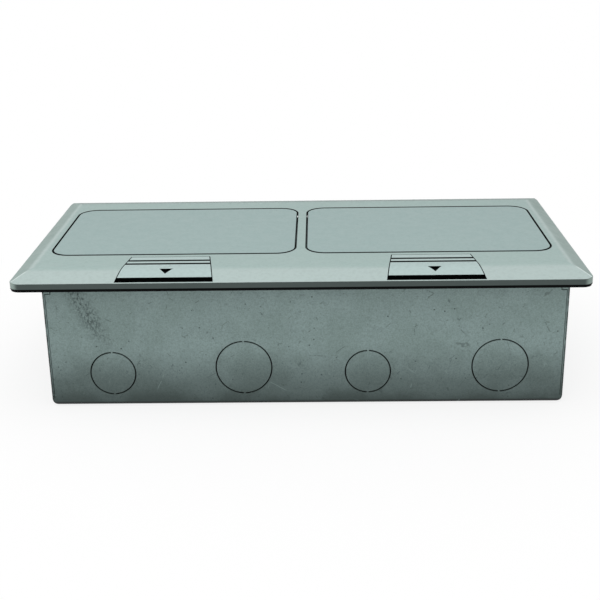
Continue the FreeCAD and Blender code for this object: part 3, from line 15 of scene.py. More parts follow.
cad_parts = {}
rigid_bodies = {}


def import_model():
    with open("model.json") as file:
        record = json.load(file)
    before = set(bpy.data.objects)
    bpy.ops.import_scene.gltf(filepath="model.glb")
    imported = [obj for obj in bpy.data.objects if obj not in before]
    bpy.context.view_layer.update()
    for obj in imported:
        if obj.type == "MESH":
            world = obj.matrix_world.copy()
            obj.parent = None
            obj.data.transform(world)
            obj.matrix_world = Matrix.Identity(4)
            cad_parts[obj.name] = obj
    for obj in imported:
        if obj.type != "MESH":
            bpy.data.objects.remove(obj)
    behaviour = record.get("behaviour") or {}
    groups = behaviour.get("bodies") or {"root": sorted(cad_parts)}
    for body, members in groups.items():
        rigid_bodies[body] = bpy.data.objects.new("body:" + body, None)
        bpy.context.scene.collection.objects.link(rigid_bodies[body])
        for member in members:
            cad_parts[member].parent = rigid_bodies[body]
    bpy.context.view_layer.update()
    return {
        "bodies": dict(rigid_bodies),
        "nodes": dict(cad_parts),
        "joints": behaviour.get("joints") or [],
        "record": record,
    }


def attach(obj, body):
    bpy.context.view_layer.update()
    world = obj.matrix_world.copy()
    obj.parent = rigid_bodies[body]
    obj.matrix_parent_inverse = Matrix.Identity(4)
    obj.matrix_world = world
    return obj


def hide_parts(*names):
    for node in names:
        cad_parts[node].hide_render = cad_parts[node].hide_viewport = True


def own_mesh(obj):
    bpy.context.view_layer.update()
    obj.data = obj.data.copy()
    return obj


Socket = bpy.types.NodeSocket
Place = tuple[Socket, Socket, Socket]

LOG = logging.getLogger("floor_socket_box")
MM = 0.001
SIDES = (("left", -1.0), ("right", 1.0))
LID_MIDDLE_MM = 59.4
WELD_MM = 0.002
EDGE_DEGREES = 32.0
SMOOTH_DEGREES = 35.0


class Port(Enum):
    """Where the middle of a data port lies across its leaning panel, in millimetres."""

    FIRST = 11.25
    SECOND = 33.75


class Recess(Enum):
    """Which dark recesses a casting has besides the gaps round the lids."""

    NONE = "none"
    LATCH_SLOTS = "latch slots"
    GROOVES_AND_ARROW = "grooves and arrow"


@dataclass(frozen=True)
class Panel:
    """The leaning panel that carries the modules under each lid, in millimetres and degrees."""

    top_y: float = -31.3
    top_z: float = 60.4
    lean: float = 28.0
    long: float = 50.0

    def matrix(self, centre_x: float) -> Matrix:
        """Return the turn and shift from an upright panel in millimetres to the row frame in metres.

        Args:
            centre_x: the panel's middle in the row frame, in millimetres.

        Returns:
            The matrix that carries a point of the panel to its place.
        """
        spot = Matrix.Translation(Vector((centre_x, self.top_y, self.top_z)) * MM)
        return spot @ Matrix.Rotation(math.radians(self.lean), 4, "X") @ Matrix.Scale(MM, 4)


PANEL = Panel()


@dataclass(frozen=True)
class Wedge:
    """A mark on each lid's middle line whose width changes steadily, in millimetres.

    Its half width is half less taper times y. It runs from front to rear along y, and its sides fade
    between soft_out and soft_in beyond that width.
    """

    taper: float
    half: float
    front: float
    rear: float
    soft_out: float
    soft_in: float


@dataclass(frozen=True)
class Knockout:
    """One size of round knockout: its slit's radius and its middle's height, in millimetres."""

    radius: float
    height: float


LATCH_SLOT = Wedge(0.1276, 12.95, -67.5, -39.8, 0.12, 0.04)
ARROW = Wedge(-0.6556, 39.93, -61.0, -56.3, 0.1, 0.0)
SMALL_KNOCKOUT = Knockout(10.25, 16.0)
LARGE_KNOCKOUT = Knockout(12.7, 18.45)


def linear(colour: str) -> tuple[float, float, float, float]:
    """Turn an sRGB hex colour into linear red, green, blue and alpha.

    Args:
        colour: six hex digits, with or without a leading hash.

    Returns:
        The linear colour that a shader socket takes.
    """
    digits = colour.lstrip("#")
    channels = []
    for start in (0, 2, 4):
        value = int(digits[start:start + 2], 16) / 255
        channels.append(value / 12.92 if value <= 0.04045 else ((value + 0.055) / 1.055) ** 2.4)
    return channels[0], channels[1], channels[2], 1.0


def add(
    tree: bpy.types.NodeTree,
    kind: str,
    links: dict[int | str, Socket] | None = None,
    values: dict[int | str, Any] | None = None,
    **settings: Any,
) -> bpy.types.Node:
    """Add one node with its settings, socket values and links.

    Args:
        tree: the node tree that gets the node.
        kind: the node's type, without its prefix if that is ShaderNode.
        links: input socket to the output that feeds it.
        values: input socket to its plain value.
        settings: properties of the node itself.

    Returns:
        The new node.
    """
    node = tree.nodes.new(kind if "Node" in kind else "ShaderNode" + kind)
    for name, value in settings.items():
        setattr(node, name, value)
    for socket, value in (values or {}).items():
        node.inputs[socket].default_value = value
    for socket, source in (links or {}).items():
        tree.links.new(source, node.inputs[socket])
    return node


class Painter:
    """Builds one procedural material on the object's own coordinates, in metres."""

    def __init__(self, name: str, roughness: float, metallic: float = 0.0, ior: float = 1.5) -> None:
        """Start the material with a plain principled shader.

        Args:
            name: the material's name.
            roughness: the shader's roughness before any pattern.
            metallic: 1 for a bare metal.
            ior: the index of refraction of anything that isn't a metal.
        """
        self.material = bpy.data.materials.new(name)
        self.material.use_nodes = True
        self.tree = self.material.node_tree
        self.tree.nodes.clear()
        self.shader = add(self.tree, "BsdfPrincipled",
                          values={"Roughness": roughness, "Metallic": metallic, "IOR": ior})
        self.output = add(self.tree, "OutputMaterial", {"Surface": self.shader.outputs[0]})
        self.place = add(self.tree, "TexCoord").outputs
        self.relief: Socket | None = None

    @cached_property
    def spot(self) -> Place:
        """The point's own three coordinates."""
        return tuple(add(self.tree, "SeparateXYZ", {0: self.place["Object"]}).outputs)

    @cached_property
    def normal(self) -> Place:
        """The three parts of the face's normal."""
        return tuple(add(self.tree, "SeparateXYZ", {0: self.place["Normal"]}).outputs)

    def pattern(self, kind: str, size_mm: float, values: dict[int | str, float] | None = None,
                where: Socket | None = None, output: int | str = 0, **settings: Any) -> Socket:
        """Add a texture at a real size.

        Args:
            kind: the texture's type without its ShaderNode prefix.
            size_mm: how far across its features are.
            values: the texture's other values by their sockets.
            where: the coordinates that it lies on, or None for the object's own.
            output: which of its outputs is wanted.
            settings: properties of the texture itself.

        Returns:
            The pattern's output.
        """
        where = where or self.place["Object"]
        scale = {"Scale": 1 / (size_mm * MM)}
        node = add(self.tree, kind, {"Vector": where}, scale | (values or {}), **settings)
        return node.outputs[output]

    def between(self, value: Socket, low: float, high: float, to_low: float = 0.0,
                to_high: float = 1.0) -> Socket:
        """Carry a value smoothly from one range to another, and hold it at its ends.

        Args:
            value: what is carried.
            low: the value that becomes to_low, which may be the higher of the two.
            high: the value that becomes to_high.
            to_low: the result at low and before it.
            to_high: the result at high and after it.

        Returns:
            The result.
        """
        limits = {"From Min": low, "From Max": high, "To Min": to_low, "To Max": to_high}
        node = add(self.tree, "MapRange", {"Value": value}, limits, interpolation_type="SMOOTHSTEP")
        return node.outputs[0]

    def ramp(self, value: Socket, low_mm: float, high_mm: float, to_low: float = 0.0,
             to_high: float = 1.0) -> Socket:
        """Carry a length as between does, with its own two limits in millimetres."""
        return self.between(value, low_mm * MM, high_mm * MM, to_low, to_high)

    def within(self, value: Socket, low_mm: float, high_mm: float, soft_mm: float = 0.05) -> Socket:
        """Mark the lengths between two limits.

        Args:
            value: a length in metres.
            low_mm: the lower limit.
            high_mm: the upper limit.
            soft_mm: how far the soft edge reaches to each side of a limit.

        Returns:
            1 between the limits, and 0 elsewhere.
        """
        above = self.ramp(value, low_mm - soft_mm, low_mm + soft_mm)
        return self.product(above, self.ramp(value, high_mm + soft_mm, high_mm - soft_mm))

    def reckon(self, operation: str, *values: Socket | float) -> Socket:
        """Reckon through several values, from the first to the last.

        Args:
            operation: the sum, product or other reckoning between each result and the next value.
            values: the values, the first of which is a socket.

        Returns:
            The last result.
        """
        result = values[0]
        for value in values[1:]:
            node = add(self.tree, "Math", {0: result}, operation=operation)
            if isinstance(value, float):
                node.inputs[1].default_value = value
            else:
                self.tree.links.new(value, node.inputs[1])
            result = node.outputs[0]
        return result

    def line(self, value: Socket, slope: float, offset_mm: float) -> Socket:
        """Return slope times a length, plus an offset."""
        return add(self.tree, "Math", {0: value}, {1: slope, 2: offset_mm * MM},
                   operation="MULTIPLY_ADD").outputs[0]

    def absolute(self, value: Socket) -> Socket:
        """Return a value without its sign."""
        return self.reckon("ABSOLUTE", value, 0.0)

    def minus(self, value: Socket, length_mm: float) -> Socket:
        """Return a length less another one, which is given in millimetres."""
        return self.reckon("SUBTRACT", value, length_mm * MM)

    def distance(self, x: Socket, y: Socket) -> Socket:
        """Return how far a point of a plane lies from its origin."""
        squares = self.reckon("ADD", self.product(x, x), self.product(y, y))
        return self.reckon("SQRT", squares, 0.0)

    def from_lid(self) -> Socket:
        """Return how far the point is, along x, from the middle of the nearer lid."""
        return self.absolute(self.minus(self.absolute(self.spot[0]), LID_MIDDLE_MM))

    def product(self, *shares: Socket | float) -> Socket:
        """Return several shares multiplied together."""
        return self.reckon("MULTIPLY", *shares)

    def most(self, *shares: Socket | float) -> Socket:
        """Return the largest of several shares."""
        return self.reckon("MAXIMUM", *shares)

    def coats(self, under: Socket | str, *coats: tuple[Socket, Socket | str]) -> Socket:
        """Lay colours over one another.

        Args:
            under: the lowest colour.
            coats: the share and the colour of each coat, from the lowest up.

        Returns:
            The colour that is seen.
        """
        for share, over in coats:
            node = add(self.tree, "Mix", {0: share}, data_type="RGBA")
            for index, colour in ((6, under), (7, over)):
                if isinstance(colour, str):
                    node.inputs[index].default_value = linear(colour)
                else:
                    self.tree.links.new(colour, node.inputs[index])
            under = node.outputs[2]
        return under

    def drive(self, name: str, source: Socket) -> None:
        """Let a pattern drive one of the shader's sockets."""
        self.tree.links.new(source, self.shader.inputs[name])

    def bump(self, height: Socket, depth_mm: float) -> None:
        """Lay a relief over what is there already.

        Args:
            height: the pattern of the relief.
            depth_mm: how deep it is.
        """
        node = add(self.tree, "Bump", {"Height": height}, {"Distance": depth_mm * MM})
        if self.relief is not None:
            self.tree.links.new(self.relief, node.inputs["Normal"])
        self.relief = node.outputs[0]
        self.drive("Normal", self.relief)


@dataclass(frozen=True)
class PowderCoatedCasting:
    """Zinc die casting with a satin epoxy powder coat: soft sheen and a fine orange peel.

    Its slopes, hips and upright flanks carry painted light and shade, and its gaps and recesses are
    black with painted shade. Its lengths are in millimetres.
    """

    name: str
    face: str
    slope: str
    ior: float = 1.4
    # Painted light and shade: the side and rear slopes are painted darker, the upright flank dark with
    # paler corners, the hips with a painted highlight, the walls inside the openings dark, and the gaps
    # and recesses black
    side: str = "#8c9f9a"
    rear: str = "#82938f"
    flank: str = "#3e4947"
    corner: str = "#84958f"
    hip: str = "#d6e2df"
    inner: str = "#37413f"
    gap: str = "#040606"
    roughness: float = 0.42
    recess: Recess = Recess.NONE
    drift_mm: float = 38.0
    mottle_mm: float = 1.6
    sheen_mm: float = 6.0
    # The peel and the grit of a real coat are half as coarse, which wouldn't show
    peel_mm: float = 1.1
    peel_deep_mm: float = 0.012
    grit_mm: float = 0.45
    grit_deep_mm: float = 0.006
    # The gap's middle line round a lid is a rounded rectangle
    gap_half: tuple[float, float] = (56.7, 38.7)
    gap_corner: float = 9.0
    gap_back: float = 2.9
    gap_low: float = -0.32
    gap_high: float = 0.7
    gap_soft: float = 0.04
    gap_wider: float = 0.62
    # Each pair from here on is where a soft edge begins and where it ends
    gap_widens: tuple[float, float] = (3.0, 9.0)
    lid_top: tuple[float, float] = (61.5, 62.5)
    lip_top: tuple[float, float] = (60.25, 60.15)
    outer_x: tuple[float, float] = (122.0, 122.4)
    outer_y: tuple[float, float] = (67.4, 67.6)
    hip_front: tuple[float, float] = (-56.0, -60.0)
    # A hip's straight line on the plan, as the shares of x and y and its distance from the middle
    hip_lean: tuple[float, float] = (0.8588, 0.5123)
    hip_out: float = 74.56
    # Its band across that line, from, to and how soft
    hip_band: tuple[float, float, float] = (-0.25, 0.55, 0.25)
    hip_share: float = 0.8
    grooves: tuple[tuple[float, float], ...] = ((-46.5, -44.4), (-51.1, -49.0))
    groove_soft: float = 0.1

    def make(self) -> bpy.types.Material:
        """Build the material: flat faces, slopes and flanks with painted light and shade, and black
        painted shade in the gaps.

        Returns:
            The finished material.
        """
        paint = Painter(self.name, self.roughness, ior=self.ior)
        dark = self._dark(paint)
        paint.drive("Base Color", paint.coats(self._skin(paint), (dark, self.gap)))
        paint.drive("Specular IOR Level", paint.between(dark, 0.0, 1.0, 0.5, 0.05))
        sheen = paint.pattern("TexNoise", self.sheen_mm, {"Detail": 3.0})
        paint.drive("Roughness", paint.between(sheen, 0.3, 0.7, self.roughness - 0.05,
                                               self.roughness + 0.06))
        paint.bump(paint.pattern("TexNoise", self.peel_mm), self.peel_deep_mm)
        paint.bump(paint.pattern("TexNoise", self.grit_mm, {"Detail": 1.0}), self.grit_deep_mm)
        return paint.material

    def _skin(self, paint: Painter) -> Socket:
        """Paint light and shade into the coat by the way that each face faces.

        Args:
            paint: the material's painter.

        Returns:
            The coat's colour with its painted light and shade, without the gaps.
        """
        sideways = paint.absolute(paint.normal[0])
        level = paint.normal[2]
        sloping = paint.between(level, 0.9995, 0.985)
        forward = paint.between(paint.normal[1], 0.1, 0.03)
        # Painted highlight: the slopes that face forward or sideways are painted paler than the flat
        # faces
        slope_highlight = paint.product(sloping, forward, paint.between(level, 0.0, 0.3))
        # Painted shade on the upright faces: the outer flank dark with paler corners, the walls inside
        # darker
        outer = paint.most(paint.ramp(paint.absolute(paint.spot[0]), *self.outer_x),
                           paint.ramp(paint.absolute(paint.spot[1]), *self.outer_y))
        edge = paint.coats(self.flank, (paint.between(sideways, 0.1, 0.6), self.corner))
        upright = paint.coats(self.inner, (outer, edge))
        drift = paint.pattern("TexNoise", self.drift_mm, {"Detail": 3.0})
        mottle = paint.pattern("TexNoise", self.mottle_mm, {"Detail": 4.0})
        # The side and rear slopes are painted darker as shade and the hips paler as a painted highlight;
        # the drift and the mottle are the coat's own uneven tone
        return paint.coats(
            self.face,
            (slope_highlight, self.slope),
            (paint.between(sideways, 0.18, 0.34), self.side),
            (paint.between(paint.normal[1], 0.06, 0.14), self.rear),
            (self._hips(paint), self.hip),
            (paint.between(drift, 0.35, 0.65, 0.0, 0.1), self.slope),
            (paint.between(mottle, 0.4, 0.75, 0.0, 0.09), self.flank),
            (paint.between(paint.absolute(level), 0.55, 0.25), upright),
        )

    def _dark(self, paint: Painter) -> Socket:
        """Mark where shade is painted black: the gaps, the recesses and the latch's front faces.

        Args:
            paint: the material's painter.

        Returns:
            The share of black painted shade.
        """
        if self.recess is Recess.GROOVES_AND_ARROW:
            # Painted shade: the latch's grooves, its arrow and its front faces are painted black
            grooves = [paint.within(paint.spot[1], *groove, self.groove_soft) for groove in self.grooves]
            front = paint.between(paint.normal[1], -0.5, -0.8)
            return paint.most(*grooves, self._wedge(paint, ARROW), front)
        # Painted shade: the gaps round the lids and the uncovered front of each latch slot are painted
        # black
        gaps = self._gaps(paint)
        if self.recess is Recess.LATCH_SLOTS:
            # Painted shade: the lowest strip of the cover's flank is painted black, which widens the
            # black line under the cover's edge
            lip = paint.product(paint.ramp(paint.spot[2], *self.lip_top),
                                paint.between(paint.absolute(paint.normal[2]), 0.5, 0.3))
            return paint.most(gaps, self._wedge(paint, LATCH_SLOT), lip)
        return gaps

    def _gaps(self, paint: Painter) -> Socket:
        """Mark the painted shade along the gap round each lid.

        Args:
            paint: the material's painter.

        Returns:
            The share of dirt.
        """
        x = paint.minus(paint.from_lid(), self.gap_half[0] - self.gap_corner)
        y = paint.absolute(paint.minus(paint.spot[1], self.gap_back))
        y = paint.minus(y, self.gap_half[1] - self.gap_corner)
        x = paint.most(x, 0.0)
        y = paint.most(y, 0.0)
        away = paint.minus(paint.distance(x, y), self.gap_corner)
        # The painted shade is wider along the front and the rear of the gap
        away = paint.product(away, paint.ramp(y, *self.gap_widens, 1.0, self.gap_wider))
        return paint.product(paint.ramp(paint.spot[2], *self.lid_top),
                             paint.within(away, self.gap_low, self.gap_high, self.gap_soft))

    def _hips(self, paint: Painter) -> Socket:
        """Mark the painted highlight along the hips where the cover's front slope meets its side slopes.

        Args:
            paint: the material's painter.

        Returns:
            The share of painted highlight.
        """
        # Painted highlight along each front hip
        away = paint.line(paint.absolute(paint.spot[0]), self.hip_lean[0], -self.hip_out)
        away = paint.reckon("ADD", away, paint.product(paint.spot[1], self.hip_lean[1]))
        front = paint.ramp(paint.spot[1], *self.hip_front)
        return paint.product(paint.within(away, *self.hip_band), front, self.hip_share)

    def _wedge(self, paint: Painter, wedge: Wedge) -> Socket:
        """Mark a wedge on each lid's middle line.

        Args:
            paint: the material's painter.
            wedge: the wedge's sizes.

        Returns:
            1 inside the wedge, and 0 elsewhere.
        """
        edge = paint.line(paint.spot[1], wedge.taper, -wedge.half)
        beyond = paint.reckon("ADD", paint.from_lid(), edge)
        return paint.product(paint.ramp(beyond, wedge.soft_out, wedge.soft_in),
                             paint.within(paint.spot[1], wedge.front, wedge.rear))


@dataclass(frozen=True)
class GalvanisedSheet:
    """Hot-dip galvanised sheet steel, folded: a dull mottled zinc with pits, rubs and scratches.

    Lengths are in millimetres.
    """

    name: str = "galvanised_sheet"
    light: str = "#869997"
    middle: str = "#7d908d"
    dark: str = "#4c5a58"
    # Painted shade: the lower walls grow darker towards the bottom, the foot and the corner creases go
    # near black, and a dark ring runs along each knockout's slit
    low_shade: str = "#2b3533"
    pit: str = "#2f3b39"
    glint: str = "#a3b5b2"
    crease_shade: str = "#0d1211"
    slit: str = "#101615"
    roughness: float = 0.48
    # The skin is half zinc and half dull oxide
    metallic: float = 0.55
    cloud_mm: float = 17.0
    spangle_mm: float = 7.0
    mottle_mm: float = 1.3
    # Real grain is about 0.2 mm across, which wouldn't show
    grain_mm: float = 0.62
    ripple_mm: float = 9.0
    ripple_deep_mm: float = 0.03
    pitted_mm: float = 1.2
    pitted_deep_mm: float = 0.02
    # Painted shade low on the walls: how far its edge wanders, and where the foot turns near black
    shade_wave: float = 2.0
    foot_shade_high: tuple[float, float] = (2.4, 0.9)
    left_edge: tuple[float, float] = (-114.1, -114.9)
    right_edge: tuple[float, float] = (118.1, 118.9)
    crease_break_mm: float = 3.0
    large_pits_mm: float = 4.4
    small_pits_mm: float = 2.0
    pit_patches_mm: float = 18.0
    # Where along each wall its knockouts lie
    long_wall: tuple[tuple[float, Knockout], ...] = (
        (-86.1, SMALL_KNOCKOUT), (-26.2, LARGE_KNOCKOUT), (30.2, SMALL_KNOCKOUT), (90.1, LARGE_KNOCKOUT))
    end_wall: tuple[tuple[float, Knockout], ...] = ((-28.2, SMALL_KNOCKOUT), (28.2, LARGE_KNOCKOUT))
    slit_soft: tuple[float, float] = (0.42, 0.24)
    slit_bridge: tuple[float, float] = (0.22, 0.4)
    scratch_wide: tuple[float, float] = (0.28, 0.1)
    # How far apart the scratches lie, and how strongly they show
    pale_scratches: tuple[float, float] = (24.0, 0.35)
    dark_scratches: tuple[float, float] = (11.0, 0.42)
    # A scratch's length as a share of the distance to the next
    scratch_long: float = 0.29
    bends_per_metre: float = 45.0
    bend_share: float = 0.006
    scuff_lean: float = 0.479
    scuff_out: float = 74.3
    scuff_wide: tuple[float, float] = (8.0, 0.5)
    scuff_high: tuple[float, float] = (22.0, 42.0)
    scuff_front: tuple[float, float] = (-55.0, -57.0)
    scuff_stretch: tuple[float, float, float] = (1.0, 1.0, 0.7)
    scuff_grain_mm: float = 0.95

    def make(self) -> bpy.types.Material:
        """Build the material with its spangle, painted shade low down, along the creases and the slits,
        and its specks, scuff and scratches.

        Returns:
            The finished material.
        """
        paint = Painter(self.name, self.roughness, self.metallic)
        cloud = paint.pattern("TexNoise", self.cloud_mm, {"Detail": 4.0})
        # Painted shade low down, along the corner creases and round the slits; the specks, scuff and
        # scratches are real marks
        paint.drive("Base Color", paint.coats(
            self._shaded_low(paint, cloud, self._skin(paint, cloud)),
            (self._edges(paint), self.crease_shade),
            (self._specks(paint), self.pit),
            (self._scuff(paint), self.pit),
            (self._scratches(paint, *self.pale_scratches), self.light),
            (self._scratches(paint, *self.dark_scratches), self.pit),
            (self._slits(paint), self.slit),
        ))
        paint.drive("Roughness", paint.between(cloud, 0.3, 0.7, 0.44, 0.56))
        paint.bump(paint.pattern("TexNoise", self.ripple_mm), self.ripple_deep_mm)
        paint.bump(paint.pattern("TexNoise", self.pitted_mm, {"Detail": 4.0}), self.pitted_deep_mm)
        return paint.material

    def _skin(self, paint: Painter, cloud: Socket) -> Socket:
        """Mix the dull zinc.

        Args:
            paint: the material's painter.
            cloud: the broad clouds over the sheet.

        Returns:
            The zinc's colour without stains or marks.
        """
        # Spangle, the zinc's own crystals, shows only faintly through the dull skin
        spangle = paint.pattern("TexVoronoi", self.spangle_mm, output="Color")
        crystal = add(paint.tree, "SeparateColor", {0: spangle})
        mottle = paint.pattern("TexNoise", self.mottle_mm, {"Detail": 5.0, "Roughness": 0.65})
        grain = paint.pattern("TexNoise", self.grain_mm)
        return paint.coats(
            self.middle,
            (paint.between(cloud, 0.38, 0.62), self.light),
            (paint.between(crystal.outputs[0], 0.0, 1.0, 0.0, 0.07), self.dark),
            (paint.between(mottle, 0.45, 0.75, 0.0, 0.3), self.dark),
            (paint.between(grain, 0.5, 0.7, 0.0, 0.2), self.dark),
            (paint.between(grain, 0.5, 0.32, 0.0, 0.16), self.glint),
        )

    def _shaded_low(self, paint: Painter, cloud: Socket, tone: Socket) -> Socket:
        """Paint shade over the lower part, darker towards the bottom, and near black along the foot.

        Args:
            paint: the material's painter.
            cloud: the broad clouds over the sheet, which make the shade's edge wavy.
            tone: the zinc's colour.

        Returns:
            The colour with its painted shade.
        """
        wave = paint.between(cloud, 0.3, 0.7, -self.shade_wave * MM, self.shade_wave * MM)
        wavy = paint.reckon("ADD", paint.spot[2], wave)
        # Painted shade: darker towards the bottom, and near black along the foot
        return paint.coats(
            tone,
            (paint.ramp(wavy, 32.0, 6.0, 0.0, 0.62), self.low_shade),
            (paint.ramp(wavy, 9.0, 0.0, 0.0, 0.64), self.low_shade),
            (paint.ramp(paint.spot[2], *self.foot_shade_high, 0.0, 0.85), self.crease_shade),
        )

    def _slits(self, paint: Painter) -> Socket:
        """Mark the painted shade along the knockouts' slits.

        Args:
            paint: the material's painter.

        Returns:
            The share of painted shade.
        """
        walls = []
        for axis, knockouts in enumerate((self.long_wall, self.end_wall)):
            rings = []
            for middle, size in knockouts:
                across = paint.minus(paint.spot[axis], middle)
                radius = paint.distance(across, paint.minus(paint.spot[2], size.height))
                # Painted shade: a dark ring is painted on the wall along each slit
                near = paint.ramp(paint.absolute(paint.minus(radius, size.radius)), *self.slit_soft)
                # The disc still hangs on two bridges, at its top and its bottom
                rings.append(paint.product(near, paint.ramp(paint.absolute(across), *self.slit_bridge)))
            facing = paint.between(paint.absolute(paint.normal[1 - axis]), 0.8, 0.95)
            walls.append(paint.product(paint.most(*rings), facing))
        return paint.product(paint.most(*walls), 0.85)

    def _edges(self, paint: Painter) -> Socket:
        """Mark the painted shade along the creases where the front and rear walls meet the ends, broken
        by noise.

        Args:
            paint: the material's painter.

        Returns:
            The share of painted shade.
        """
        # Painted shade along the corner creases
        left = paint.ramp(paint.spot[0], *self.left_edge)
        right = paint.ramp(paint.spot[0], *self.right_edge)
        facing = paint.between(paint.absolute(paint.normal[1]), 0.3, 0.7)
        crease_breaks = paint.pattern("TexNoise", self.crease_break_mm, {"Detail": 4.0})
        broken_crease_shade = paint.between(crease_breaks, 0.3, 0.6, 0.35, 0.9)
        return paint.product(paint.most(left, right), facing, broken_crease_shade)

    def _specks(self, paint: Painter) -> Socket:
        """Mark dark pits, each 0.3 to 0.6 mm across and 2 to 5 mm apart.

        Args:
            paint: the material's painter.

        Returns:
            The share of pits.
        """
        large = paint.between(paint.pattern("TexVoronoi", self.large_pits_mm), 0.105, 0.06)
        small = paint.between(paint.pattern("TexVoronoi", self.small_pits_mm), 0.13, 0.07, 0.0, 0.6)
        patches = paint.between(paint.pattern("TexNoise", self.pit_patches_mm), 0.38, 0.58)
        return paint.product(paint.most(large, small), patches, 0.8)

    def _scuff(self, paint: Painter) -> Socket:
        """Mark the long rub that runs down the front wall near its left end.

        Args:
            paint: the material's painter.

        Returns:
            The share of scuffed zinc.
        """
        lean = paint.line(paint.spot[2], self.scuff_lean, self.scuff_out)
        band = paint.ramp(paint.absolute(paint.reckon("ADD", paint.spot[0], lean)), *self.scuff_wide)
        high = paint.ramp(paint.spot[2], *self.scuff_high)
        front = paint.ramp(paint.spot[1], *self.scuff_front)
        long = add(paint.tree, "Mapping", {"Vector": paint.place["Object"]},
                   {"Scale": self.scuff_stretch})
        grain = paint.pattern("TexNoise", self.scuff_grain_mm, {"Detail": 6.0, "Roughness": 0.6},
                              long.outputs[0])
        return paint.product(band, high, paint.between(grain, 0.36, 0.7), front, 0.85)

    def _scratches(self, paint: Painter, apart_mm: float, share: float) -> Socket:
        """Mark short curved scratches about 0.3 mm wide.

        Args:
            paint: the material's painter.
            apart_mm: how far apart the scratches lie.
            share: how strongly they show.

        Returns:
            The share of scratches.
        """
        place = paint.place["Object"]
        bend = add(paint.tree, "TexNoise", {"Vector": place}, {"Scale": self.bends_per_metre})
        bent = add(paint.tree, "Mix", {4: place, 5: bend.outputs["Color"]}, {0: self.bend_share},
                   data_type="VECTOR")
        line = paint.pattern("TexVoronoi", apart_mm, where=bent.outputs[1], feature="DISTANCE_TO_EDGE")
        thin = paint.between(line, *(wide / apart_mm for wide in self.scratch_wide))
        broken = paint.between(paint.pattern("TexNoise", apart_mm * self.scratch_long), 0.58, 0.66)
        return paint.product(thin, broken, share)


@dataclass(frozen=True)
class FoamRubber:
    """Closed-cell neoprene foam, die cut: matt black with open pores on its cut edge."""

    name: str = "closed_cell_foam"
    colour: str = "#060707"
    bloom: str = "#0d0f0f"
    roughness: float = 0.92
    ior: float = 1.25
    bloom_mm: float = 4.0
    # Real pores are 0.1 to 0.3 mm across, which wouldn't show
    pore_mm: float = 0.5
    pore_deep_mm: float = 0.06

    def make(self) -> bpy.types.Material:
        """Build the material.

        Returns:
            The finished material.
        """
        paint = Painter(self.name, self.roughness, ior=self.ior)
        bloom = paint.between(paint.pattern("TexNoise", self.bloom_mm, {"Detail": 3.0}), 0.4, 0.7)
        paint.drive("Base Color", paint.coats(self.colour, (bloom, self.bloom)))
        paint.bump(paint.pattern("TexVoronoi", self.pore_mm), self.pore_deep_mm)
        return paint.material


@dataclass(frozen=True)
class PlatedSteel:
    """Zinc-plated steel: a bright, slightly cloudy metal with the rolling lines of the sheet."""

    name: str
    colour: str = "#b4bab9"
    cloud: str = "#8d9695"
    roughness: float = 0.32
    # Real rolling lines are under 0.1 mm apart, which wouldn't show
    line_mm: float = 0.35
    line_deep_mm: float = 0.008
    line_stretch: tuple[float, float, float] = (0.04, 1.0, 1.0)
    cloud_mm: float = 9.0

    def make(self) -> bpy.types.Material:
        """Build the material.

        Returns:
            The finished material.
        """
        paint = Painter(self.name, self.roughness, metallic=1.0)
        cloud = paint.between(paint.pattern("TexNoise", self.cloud_mm, {"Detail": 4.0}), 0.35, 0.7)
        long = add(paint.tree, "Mapping", {"Vector": paint.place["Object"]},
                   {"Scale": self.line_stretch})
        lines = paint.pattern("TexNoise", self.line_mm, {"Detail": 3.0}, long.outputs[0])
        paint.drive("Base Color", paint.coats(self.colour, (cloud, self.cloud),
                                              (paint.between(lines, 0.4, 0.75, 0.0, 0.3), self.cloud)))
        paint.drive("Roughness", paint.between(cloud, 0.0, 1.0, self.roughness, self.roughness + 0.14))
        paint.bump(lines, self.line_deep_mm)
        return paint.material


@dataclass(frozen=True)
class WornMetal:
    """A drawn or turned metal that has gone dark in patches, with fine marks of its making."""

    name: str
    colour: str
    dark: str
    roughness: float
    # How far across the patches are, where they begin and end in the noise, and how strong they are
    patch_mm: float
    patch_from: tuple[float, float]
    patch_share: float
    rough: tuple[float, float]
    mark_deep_mm: float
    # Real marks are under 0.1 mm wide, which wouldn't show; at 0 the patches are the relief
    mark_mm: float = 0.3

    def make(self) -> bpy.types.Material:
        """Build the material.

        Returns:
            The finished material.
        """
        paint = Painter(self.name, self.roughness, metallic=1.0)
        patches = paint.pattern("TexNoise", self.patch_mm, {"Detail": 4.0})
        patch = paint.between(patches, *self.patch_from, 0.0, self.patch_share)
        paint.drive("Base Color", paint.coats(self.colour, (patch, self.dark)))
        paint.drive("Roughness", paint.between(patch, 0.0, self.patch_share, *self.rough))
        paint.bump(paint.pattern("TexNoise", self.mark_mm) if self.mark_mm else patch, self.mark_deep_mm)
        return paint.material


@dataclass(frozen=True)
class DrawnWire(WornMetal):
    """Carbon spring wire, cold drawn: dark, oily grey with fine draw marks."""

    name: str = "spring_wire"
    colour: str = "#7f8584"
    dark: str = "#4a4f4e"
    roughness: float = 0.28
    patch_mm: float = 0.5
    patch_from: tuple[float, float] = (0.4, 0.7)
    patch_share: float = 1.0
    rough: tuple[float, float] = (0.22, 0.4)
    mark_deep_mm: float = 0.01
    mark_mm: float = 0.0


@dataclass(frozen=True)
class TurnedBrass(WornMetal):
    """Free-cutting brass, turned and pressed: warm yellow, tarnished brown in patches."""

    name: str = "terminal_brass"
    colour: str = "#c7a45c"
    dark: str = "#8b6a37"
    roughness: float = 0.26
    patch_mm: float = 3.2
    patch_from: tuple[float, float] = (0.48, 0.7)
    patch_share: float = 0.7
    rough: tuple[float, float] = (0.22, 0.42)
    mark_deep_mm: float = 0.006


